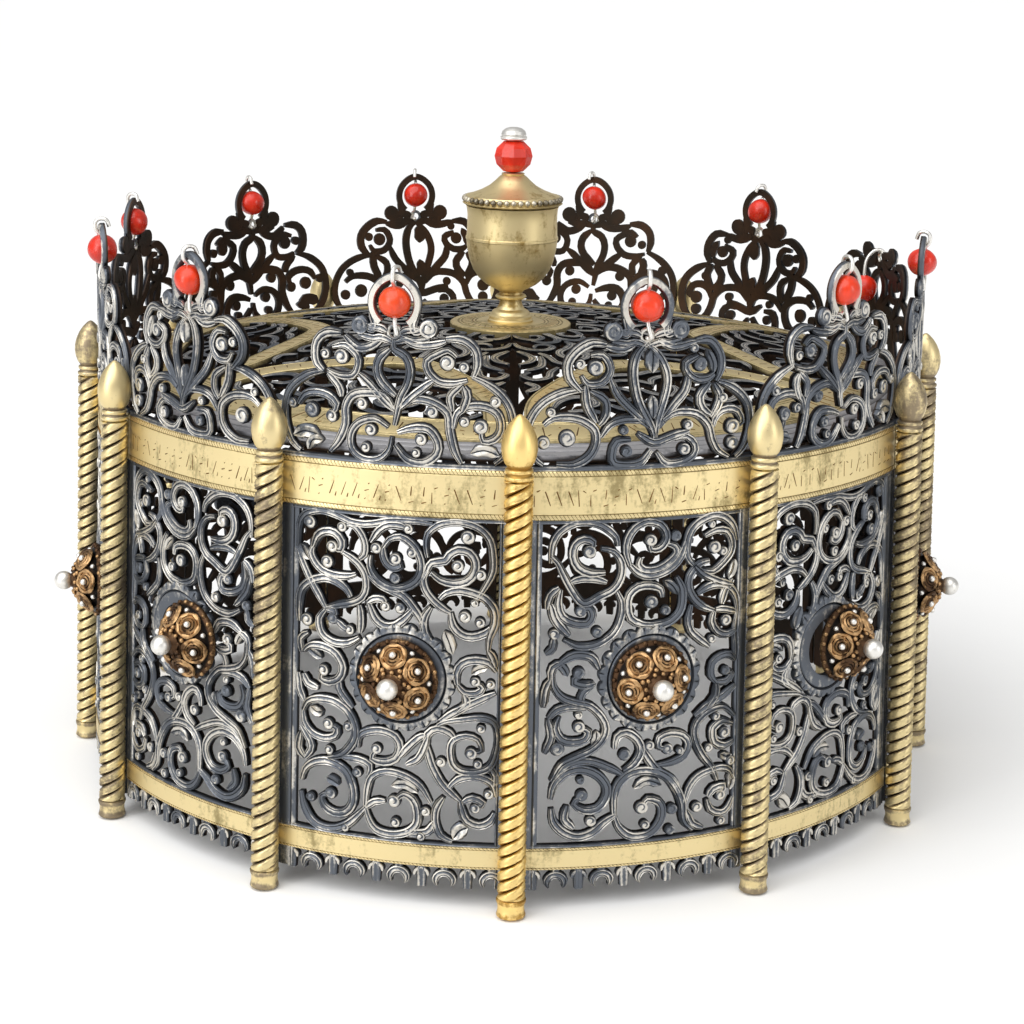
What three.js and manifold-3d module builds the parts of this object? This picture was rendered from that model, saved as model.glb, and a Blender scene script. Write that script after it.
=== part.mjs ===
// A silver torah crown: twelve pierced panels with scalloped crests stand between twelve twisted
// gilt columns. Each panel carries a filigree boss and a coral bead hung in the ring of its crest.
// A shallow pierced dome closes the top and carries an urn with a lid, a coral bead and a cap.
//
// Millimetres, +Z up. The origin is the centre of the circle of feet, on the ground. The first
// column stands at the front (-Y), and the numbers go round to the right.
//
// A panel is drawn flat, across by the arc length at PANEL_RADIUS and up by the height, and is
// then bent round the crown.

import * as THREE from 'three';
import { mergeVertices } from 'three/addons/utils/BufferGeometryUtils.js';
import Module from 'manifold-3d';

const wasm = await Module();
wasm.setup();

// ---- Driving dimensions ----------------------------------------------------------------------

const COUNT = 12;                        // panels, columns, bosses and coral drops
const SECTOR = (2 * Math.PI) / COUNT;
const GAP = 0.3;                         // clearance where separate pieces meet
const SHEET = 1.2;                       // thickness of the panels and of the dome

// Walls. They come in towards the top, and the crests stand a little more upright.
const COLUMN_CIRCLE = 105;
const PANEL_RADIUS = 100.9;              // middle of the sheet, at the ground
const TAPER = 0.034;
const CREST_LEAN = -0.02;                // added to the taper, above the crest's foot
const PANEL_HALF_WIDTH = 26;
const FOLD = 7.2;                        // a panel is three flat strips, bent at +FOLD and -FOLD
const BOSS_ACROSS = 2.2;

// Heights on a panel
const FRINGE_FOOT = 3.1;
const FRINGE_NOTCH = 6.6;
const CREST_FOOT = 93.8;
const BOSS_HEIGHT = 49.2;
const RING_HEIGHT = 126.8;

const RING_OUTER = 5.7;
const RING_INNER = 4.4;
const BEAD_RADIUS = 3.4;
const WIRE = 0.8;
const BROKEN_RING = 4;                   // the panel whose ring is lost down to two stubs

const COLUMN_HEIGHT = 106;
const COLUMN_RADIUS = 3.1;
const FOOT_HEIGHT = 3.6;
const SHAFT_TOP = 92.6;
const BUD_FOOT = 95.4;
const BUD_RADIUS = 3.7;

const DOME_TOP = 107.1;                  // outer face of the dome at its centre
const DOME_DROP = 0.00121;               // how far it falls, for each square millimetre out
const DOME_RIM = 96.2;

const URN_HALF_WIDTH = 11.1;
const URN_RIM_HEIGHT = 135.4;
const URN_TOP = 153.9;
const URN_WALL = 1;

// ---- Materials -------------------------------------------------------------------------------

const metal = (color, roughness) => new THREE.MeshStandardMaterial({ color, roughness, metalness: 1 });
const SILVER = metal(0x9a9790, 0.42);
const GILT = metal(0xcfae62, 0.34);
const FILIGREE = metal(0x5b4024, 0.55);
const BRIGHT = metal(0xd8d6d0, 0.3);
const CORAL = new THREE.MeshStandardMaterial({ color: 0xd8321c, roughness: 0.4, metalness: 0 });

// ---- Solids and meshes -----------------------------------------------------------------------

/** A closed three.js geometry as a solid that can be cut and joined. */
function solidOf(geometry) {
  const bare = geometry.index ? geometry.clone() : geometry;
  bare.deleteAttribute('normal');
  bare.deleteAttribute('uv');
  const merged = mergeVertices(bare, 1e-4);
  return new wasm.Manifold(new wasm.Mesh({
    numProp: 3,
    vertProperties: new Float32Array(merged.attributes.position.array),
    triVerts: new Uint32Array(merged.index.array),
  }));
}

/** The faces of a solid as a three.js geometry. */
function geometryOf(solid) {
  const mesh = solid.getMesh();
  const geometry = new THREE.BufferGeometry();
  geometry.setAttribute('position', new THREE.BufferAttribute(mesh.vertProperties, mesh.numProp));
  geometry.setIndex(Array.from(mesh.triVerts));
  geometry.computeVertexNormals();
  return geometry;
}

const joined = (solids) => solids.reduce((whole, solid) => whole.add(solid));

/** A turned form standing on +Z, from (radius, height) pairs given from the bottom up. */
function turned(profile, sides) {
  const points = profile.map(([radius, height]) => new THREE.Vector2(radius, height));
  return new THREE.LatheGeometry(points, sides).rotateX(Math.PI / 2);
}

/** Bent wire of square section, from its outline seen from the side as (outward, up) pairs. */
function bentWire(outline) {
  const side = new THREE.Shape(outline.map(([outward, up]) => new THREE.Vector2(outward, up)));
  return new THREE.ExtrudeGeometry(side, { depth: WIRE, bevelEnabled: false })
    .translate(0, 0, -WIRE / 2)
    .applyMatrix4(new THREE.Matrix4().makeBasis(
      new THREE.Vector3(0, -1, 0), new THREE.Vector3(0, 0, 1), new THREE.Vector3(-1, 0, 0),
    ));
}

/** Corner points on an arc, between two angles in degrees. */
function arc(across, up, radius, from, to, steps) {
  return Array.from({ length: steps + 1 }, (_, i) => {
    const angle = THREE.MathUtils.degToRad(from + ((to - from) * i) / steps);
    return new THREE.Vector2(across + radius * Math.cos(angle), up + radius * Math.sin(angle));
  });
}

/** Corner points right round a circle, or an oval where `tall` differs from `radius`. */
function ring(across, up, radius, sides, turn = 0, tall = radius) {
  return Array.from({ length: sides }, (_, i) => {
    const angle = (2 * Math.PI * i) / sides + THREE.MathUtils.degToRad(turn);
    return new THREE.Vector2(across + radius * Math.cos(angle), up + tall * Math.sin(angle));
  });
}

// ---- Panels ----------------------------------------------------------------------------------

/** Distance from the crown's axis to the middle of the sheet, at a height. */
function wallRadius(height) {
  return PANEL_RADIUS - TAPER * height - CREST_LEAN * Math.max(0, height - CREST_FOOT);
}

/** The lower edge: the tabs of the fringe, from left to right. */
function fringeEdge() {
  const tabs = 5;
  const pitch = (2 * PANEL_HALF_WIDTH) / tabs;
  const tab = [[-0.5, FRINGE_NOTCH], [-0.2, FRINGE_FOOT], [0.2, FRINGE_FOOT]];
  return Array.from({ length: tabs }, (_, i) => tab.map(([part, height]) => (
    new THREE.Vector2(-PANEL_HALF_WIDTH + pitch * (i + 0.5 + part), height)
  ))).flat();
}

/** The right half of the crest's outline, from its foot up to the top of the ring. */
function crestEdge(broken) {
  const stub = [[4.8, 123.4], [2.4, 121.4]].map(([across, up]) => new THREE.Vector2(across, up));
  return [
    new THREE.Vector2(PANEL_HALF_WIDTH, CREST_FOOT),
    ...arc(17.4, 103.3, 8.3, -60, 90, 3),
    ...arc(11.3, 115.3, 6.1, -25, 85, 2),
    ...arc(7.1, 121.9, 2.4, -10, 80, 1),
    ...(broken ? stub : arc(0, RING_HEIGHT, RING_OUTER, -22, 68, 2)),
  ];
}

const mirrored = (points) => points.map((p) => new THREE.Vector2(-p.x, p.y)).reverse();

function panelOutline(broken) {
  const corner = new THREE.Vector2(PANEL_HALF_WIDTH, FRINGE_NOTCH);
  const tip = broken ? [] : [new THREE.Vector2(0, RING_HEIGHT + RING_OUTER)];
  const crest = crestEdge(broken);
  return [...fringeEdge(), corner, ...crest, ...tip, ...mirrored(crest)];
}

/** Openings between the scrolls, as corner points: three files in the field, five in the crest. */
function panelOpenings(broken) {
  const files = [-14.3, BOSS_ACROSS, 17.2];
  const rows = [21.8, 76].flatMap((up) => files.map((across) => ring(across, up, 5.1, 4, 0, 6.2)));
  const beside = [files[0], files[2]].flatMap((across) => (
    [38.6, 60.4].map((up) => ring(across, up, 4.6, 4, 0, 6.6))
  ));
  const crest = [-1, 1].flatMap((side) => [
    ring(side * 16.8, 102.4, 5.4, 4, 0, 5),
    ring(side * 11.6, 115.2, 3.8, 4, 0, 3.8),
  ]);
  const lancet = ring(0, 110.8, 2.7, 4, 0, 7.4);
  const eye = broken ? [] : [ring(0, RING_HEIGHT, RING_INNER, 6, 30)];
  return [...rows, ...beside, ...crest, lancet, ...eye];
}

/** The part of a polygon on one side of a line across it, at `limit` along one axis. */
function clipped(points, axis, limit, above) {
  const inside = (p) => (above ? p[axis] >= limit : p[axis] <= limit);
  return points.flatMap((p, i) => {
    const next = points[(i + 1) % points.length];
    const kept = inside(p) ? [p] : [];
    if (inside(p) === inside(next)) return kept;
    return [...kept, p.clone().lerp(next, (limit - p[axis]) / (next[axis] - p[axis]))];
  });
}

/** The triangles of a flat panel as a list of corners, cut at the folds and the crest's foot. */
function panelTriangles(broken) {
  const folds = [-PANEL_HALF_WIDTH, -FOLD, FOLD, PANEL_HALF_WIDTH];
  const levels = [FRINGE_FOOT, CREST_FOOT, RING_HEIGHT + RING_OUTER];
  const openings = panelOpenings(broken);
  const corners = [];
  for (let i = 0; i + 1 < folds.length; i += 1) {
    for (let j = 0; j + 1 < levels.length; j += 1) {
      let cell = clipped(panelOutline(broken), 'x', folds[i], true);
      cell = clipped(cell, 'x', folds[i + 1], false);
      cell = clipped(cell, 'y', levels[j], true);
      cell = clipped(cell, 'y', levels[j + 1], false);
      const cuts = openings.filter(([p]) => (
        p.x > folds[i] && p.x < folds[i + 1] && p.y > levels[j] && p.y < levels[j + 1]
      ));
      const points = [...cell, ...cuts.flat()];
      THREE.ShapeUtils.triangulateShape(cell, cuts).forEach((face) => {
        const triangle = face.map((index) => points[index]);
        corners.push(...(THREE.ShapeUtils.isClockWise(triangle) ? triangle.reverse() : triangle));
      });
    }
  }
  return corners;
}

/** Where a point of a flat panel lies on its strip's chord, `out` from the middle of the sheet. */
function bent(point, out) {
  const edges = [-PANEL_HALF_WIDTH, -FOLD, FOLD, PANEL_HALF_WIDTH];
  const strip = (point.x > -FOLD ? 1 : 0) + (point.x > FOLD ? 1 : 0);
  const [left, right] = [edges[strip], edges[strip + 1]];
  const part = (point.x - left) / (right - left);
  const [a, b] = [left / PANEL_RADIUS, right / PANEL_RADIUS];
  const radius = wallRadius(point.y) + out;
  return new THREE.Vector3(
    radius * THREE.MathUtils.lerp(Math.sin(a), Math.sin(b), part),
    -radius * THREE.MathUtils.lerp(Math.cos(a), Math.cos(b), part),
    point.y,
  );
}

/** A closed panel: an outer face, an inner face, and walls along every edge that ends a face. */
function panelGeometry(broken) {
  const corners = panelTriangles(broken);
  const key = (from, to) => [from.x, from.y, to.x, to.y].map((v) => v.toFixed(4)).join(' ');
  const edges = new Map();
  for (let i = 0; i < corners.length; i += 1) {
    const next = i % 3 === 2 ? i - 2 : i + 1;
    edges.set(key(corners[i], corners[next]), [corners[i], corners[next]]);
  }
  const points = corners.map((corner) => bent(corner, SHEET / 2));
  for (let i = 0; i < corners.length; i += 3) {
    const inner = corners.slice(i, i + 3).reverse();
    points.push(...inner.map((corner) => bent(corner, -SHEET / 2)));
  }
  for (const [from, to] of edges.values()) {
    if (edges.has(key(to, from))) continue;
    const [outerFrom, outerTo] = [from, to].map((corner) => bent(corner, SHEET / 2));
    const [innerFrom, innerTo] = [from, to].map((corner) => bent(corner, -SHEET / 2));
    points.push(outerTo, outerFrom, innerFrom, outerTo, innerFrom, innerTo);
  }
  const geometry = mergeVertices(new THREE.BufferGeometry().setFromPoints(points), 1e-4);
  geometry.computeVertexNormals();
  return geometry;
}

// ---- Columns ---------------------------------------------------------------------------------

/** A twisted shaft on a plain drum foot, with a pointed bud on top, leaning in with the walls. */
function columnGeometry() {
  const shaftTurns = 5;
  const shaft = Array.from({ length: shaftTurns + 1 }, (_, i) => (
    [COLUMN_RADIUS, FOOT_HEIGHT + 0.8 + ((SHAFT_TOP - FOOT_HEIGHT - 0.8) * i) / shaftTurns]
  ));
  const geometry = turned([
    [0, 0], [COLUMN_RADIUS - 0.1, 0], [COLUMN_RADIUS - 0.3, FOOT_HEIGHT],
    ...shaft,
    [COLUMN_RADIUS - 0.5, BUD_FOOT], [BUD_RADIUS, BUD_FOOT + 3.4],
    [BUD_RADIUS * 0.62, BUD_FOOT + 7.4], [0, COLUMN_HEIGHT],
  ], 6);
  const positions = geometry.attributes.position;
  const point = new THREE.Vector3();
  const upright = new THREE.Vector3(0, 0, 1);
  for (let i = 0; i < positions.count; i += 1) {
    point.fromBufferAttribute(positions, i);
    const part = THREE.MathUtils.clamp((point.z - FOOT_HEIGHT) / (SHAFT_TOP - FOOT_HEIGHT), 0, 1);
    point.applyAxisAngle(upright, -part * shaftTurns * (Math.PI / 3));
    point.y += TAPER * point.z;
    positions.setXYZ(i, ...point.toArray());
  }
  return geometryOf(solidOf(geometry));
}

// ---- Bosses and coral drops ------------------------------------------------------------------

/** A domed filigree boss with a ball on a collar, six-sided for its six discs. It faces +Z. */
function bossGeometry() {
  return turned([
    [0, 0], [8.7, 0], [8.2, 3.4], [1.6, 6.8], [2.4, 8.8], [0, 10.6],
  ], 6);
}

/**
 * A coral bead on its wires, seen as hung in the ring of a crest. `inward` is how far the bead
 * hangs behind the sheet, and each wire is an outline in (outward, up) from the bead's middle.
 */
function dropGeometry(inward, wires) {
  const bead = turned([
    [0, -BEAD_RADIUS + 0.2], [BEAD_RADIUS * 0.6, -BEAD_RADIUS + 0.2], [BEAD_RADIUS, 0],
    [BEAD_RADIUS * 0.6, BEAD_RADIUS - 0.2], [0, BEAD_RADIUS - 0.2],
  ], 6).translate(0, inward, 0);
  return geometryOf(joined([bead, ...wires.map(bentWire)].map(solidOf)));
}

const WIRE_NEAR = SHEET / 2 + GAP;       // the wires pass the sheet this far from its middle
const WIRE_FAR = WIRE_NEAR + WIRE;

/** Over the ring's top and down behind it, and below the bead down towards the eyelet. */
const RING_WIRES = [
  [
    [-0.35, 2.8], [WIRE_NEAR, 3.95], [WIRE_NEAR, 6.1], [-WIRE_NEAR, 6.1], [-WIRE_NEAR, 4.9],
    [-WIRE_FAR, 4.9], [-WIRE_FAR, 6.9], [WIRE_FAR, 6.9], [WIRE_FAR, 3.6], [0.35, 2.2],
  ],
  [
    [0.35, -2.2], [WIRE_FAR, -3.6], [WIRE_FAR, -6.2], [WIRE_NEAR, -6.2], [WIRE_NEAR, -3.95],
    [-0.35, -2.8],
  ],
];

/** Where the ring is lost, the bead hangs behind the sheet from a wire over the crest's edge. */
const BROKEN_INWARD = SHEET / 2 + GAP + BEAD_RADIUS;
const BROKEN_DROP = 13.8;
const BROKEN_WIRES = [[
  [-BROKEN_INWARD - 0.4, 2.4], [-BROKEN_INWARD + 0.4, 2.4], [-BROKEN_INWARD + 0.4, 8.8],
  [WIRE_NEAR, 8.8], [WIRE_NEAR, 5.6], [WIRE_FAR, 5.6], [WIRE_FAR, 9.6],
  [-BROKEN_INWARD - 0.4, 9.6],
]];

// ---- Dome ------------------------------------------------------------------------------------

const domeHeight = (radius) => DOME_TOP - DOME_DROP * radius * radius;

/**
 * A shallow pierced dome, its edge inside the feet of the crests. Six arches spring from its edge,
 * each over two panels: three openings lie under each arch and one between it and the next.
 */
function domeGeometry() {
  const sides = 2 * COUNT;
  const rings = [0, DOME_RIM / 2, DOME_RIM];
  const outer = rings.map((radius) => [radius, domeHeight(radius)]).reverse();
  const inner = rings.map((radius) => [radius, domeHeight(radius) - SHEET]);
  const shell = solidOf(turned([...inner, ...outer], sides));
  const cuts = [];
  for (let arch = 0; arch < COUNT / 2; arch += 1) {
    const middle = (2 * arch + 1) * SECTOR;
    cuts.push(
      domeOpening(middle + SECTOR, 30, 4.6, 10),
      domeOpening(middle, 61, 5.5, 11),
      domeOpening(middle - 0.31, 66, 4.4, 8),
      domeOpening(middle + 0.31, 66, 4.4, 8),
    );
  }
  return geometryOf(shell.subtract(joined(cuts)));
}

/** A cutter for one opening of the dome, a diamond `wide` across and `deep` along the radius. */
function domeOpening(angle, radius, wide, deep) {
  const shape = new THREE.Shape(ring(0, 0, deep, 4, 0, wide));
  const foot = domeHeight(DOME_RIM) - 2 * SHEET;
  const depth = DOME_TOP + SHEET - foot;
  return solidOf(new THREE.ExtrudeGeometry(shape, { depth, bevelEnabled: false })
    .translate(radius, 0, foot)
    .rotateZ(angle));
}

// ---- Urn -------------------------------------------------------------------------------------

const URN_SIDES = 10;

/** The urn: a foot, a stem and a hollow bowl, open at the top under its lid. */
function urnGeometry() {
  const foot = DOME_TOP + GAP;
  const outside = [
    [0, foot], [5, foot], [5, foot + 1.6], [3.3, 112.6], [3.8, 115.4], [7.6, 118],
    [10.2, 122.6], [URN_HALF_WIDTH, 128], [URN_HALF_WIDTH - 0.3, URN_RIM_HEIGHT],
  ];
  const inside = [
    [URN_HALF_WIDTH - 0.3 - URN_WALL, URN_RIM_HEIGHT], [URN_HALF_WIDTH - URN_WALL, 128],
    [9.1, 123], [6.2, 119], [0, 117],
  ];
  return turned([...outside, ...inside], URN_SIDES);
}

/** The lid: a beaded rim and a concave shell that rises to a neck. */
function lidGeometry() {
  const foot = URN_RIM_HEIGHT + GAP;
  return turned([
    [10.6, foot], [12, foot + 0.6], [11.4, foot + 2.2], [6.2, foot + 4.2], [2.6, 143.2],
    [0, 143.2], [0, 142], [5.4, foot + 3], [10.6, foot],
  ], URN_SIDES);
}

const coralGeometry = () => turned([
  [0, 143.5], [2.8, 143.5], [4.6, 147.1], [2.9, 150.7], [0, 150.7],
], 8);

const capGeometry = () => turned([
  [0, 151], [3.2, 151], [2.9, 152.6], [0, URN_TOP],
], 8);

// ---- The crown -------------------------------------------------------------------------------

const crown = new THREE.Group();

function piece(name, geometry, material, parent = crown) {
  const mesh = new THREE.Mesh(geometry, material);
  mesh.name = name;
  parent.add(mesh);
  return mesh;
}

const column = columnGeometry();
const boss = bossGeometry();
const panel = panelGeometry(false);
const brokenPanel = panelGeometry(true);
const drop = dropGeometry(0, RING_WIRES);
const brokenDrop = dropGeometry(BROKEN_INWARD, BROKEN_WIRES);

/** The middle strip of a panel lies a little inside the curve through its two folds. */
const stripRadius = (height) => wallRadius(height) * Math.cos(FOLD / PANEL_RADIUS);

for (let i = 1; i <= COUNT; i += 1) {
  const number = String(i).padStart(2, '0');
  const bay = new THREE.Group();
  bay.rotation.z = (i - 0.5) * SECTOR;
  crown.add(bay);
  const broken = i === BROKEN_RING;

  const post = new THREE.Group();
  post.rotation.z = (i - 1) * SECTOR;
  crown.add(post);
  piece(`column_${number}`, column, GILT, post).position.y = -COLUMN_CIRCLE;

  piece(`panel_${number}`, broken ? brokenPanel : panel, SILVER, bay);

  const rosette = piece(`boss_${number}`, boss, FILIGREE, bay);
  rosette.position.set(BOSS_ACROSS, -stripRadius(BOSS_HEIGHT) - SHEET / 2 - GAP, BOSS_HEIGHT);
  rosette.rotation.x = Math.PI / 2 - Math.atan(TAPER);

  const hung = piece(`coral_drop_${number}`, broken ? brokenDrop : drop, CORAL, bay);
  const hangHeight = RING_HEIGHT - (broken ? BROKEN_DROP : 0);
  hung.position.set(0, -stripRadius(hangHeight), hangHeight);
  hung.rotation.x = -Math.atan(TAPER + CREST_LEAN);
}

piece('dome', domeGeometry(), SILVER);
piece('urn', urnGeometry(), GILT);
piece('urn_lid', lidGeometry(), GILT);
piece('urn_coral', coralGeometry(), CORAL);
piece('urn_cap', capGeometry(), BRIGHT);

export default crown;
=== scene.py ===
"""A silver torah crown: twelve pierced panels between twisted gilt columns, a pierced dome and
an urn.

The file is laid out as an add-on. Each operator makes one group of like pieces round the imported
frame, and the sizes and colours that a user would change are properties of the scene.
Shapes are put together in millimetres and turned into metres when a piece is made.
"""

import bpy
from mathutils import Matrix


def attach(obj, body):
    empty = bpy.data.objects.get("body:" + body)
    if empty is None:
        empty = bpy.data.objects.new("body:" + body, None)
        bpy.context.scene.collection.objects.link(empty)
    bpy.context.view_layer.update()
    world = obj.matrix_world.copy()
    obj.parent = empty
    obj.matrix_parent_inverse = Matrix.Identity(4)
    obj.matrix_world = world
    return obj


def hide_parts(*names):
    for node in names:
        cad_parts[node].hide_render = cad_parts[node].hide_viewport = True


bl_info = {
    "name": "Torah crown",
    "version": (1, 0, 0),
    "blender": (4, 5, 0),
    "location": "View3D > Sidebar > Crown",
    "description": "Builds the silver crown around its packed frame",
    "category": "Object",
}

import math

import bpy
import numpy as np
from bpy.props import FloatProperty, FloatVectorProperty, PointerProperty
from mathutils import Matrix, Vector

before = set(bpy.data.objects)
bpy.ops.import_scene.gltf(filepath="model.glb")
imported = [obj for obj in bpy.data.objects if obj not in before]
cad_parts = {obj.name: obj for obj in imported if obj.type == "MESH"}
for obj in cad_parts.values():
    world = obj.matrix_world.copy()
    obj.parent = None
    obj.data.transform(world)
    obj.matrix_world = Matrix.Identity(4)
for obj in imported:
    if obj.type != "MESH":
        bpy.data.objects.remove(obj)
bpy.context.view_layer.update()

MM = 0.001
COUNT = 12
SECTOR = 2 * math.pi / COUNT

# Sizes of the frame, in millimetres. On the wall, points go across by the arc length, up by the
# height, and out from the middle of the sheet. BACK is the sheet's inner face.
WALL_RADIUS = 100.9
TAPER = 0.034
CREST_FOOT = 93.8
CREST_LEAN = -0.02
SHEET = 1.2
BACK = -SHEET / 2
PANEL_FOOT = 4.2
UPPER_BAND = (83.4, 93.7)
LOWER_BAND = (8.4, 13.3)

# Each panel's boss stands a little to one side of its middle, and its coral hangs in the ring.
BOSS_ACROSS = 2.2
BOSS_UP = 49.2
RING_UP = 126.8

# The panel that has lost its ring, and how far down and in its coral hangs instead.
BROKEN_RING = 4
BROKEN_DROP = 13.8
BROKEN_BACK = -4.3
# The panels whose silver is drawn as a mirror image.
MIRRORED = (2, 3, 6, 7, 10, 11)

COLUMN_CIRCLE = 105.0

# The dome's face falls from its top by DOME_DROP times the square of the distance from its axis.
DOME_TOP = 107.1
DOME_DROP = 0.00121
DOME_BACK = -1.2
PLATE_EDGE = 14.6
RIM_INSIDE, RIM_OUTSIDE, DOME_EDGE = 79.2, 90.0, 95.8

# Where a row of points is smaller than this, a form runs into a point.
POINT_SIZE = 0.004

# The camera: metres from the crown's middle, millimetres of lens, and degrees.
CAMERA_FAR = 0.5646
CAMERA_LENS = 77.53
CAMERA_HEIGHT = 20.45
CAMERA_PITCH = 14.591
CAMERA_YAW = 0.14
CAMERA_ROLL = 1.114
CAMERA_TURN = 1.305

# ---- Scrollwork ------------------------------------------------------------------------------
# One stroke a line, as across and up pairs. "@" ends a stroke in a curled eye (across, up,
# radius). A line that starts with "@" is eyes alone, and one that starts with "*" is a leaf with
# its width first.

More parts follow.
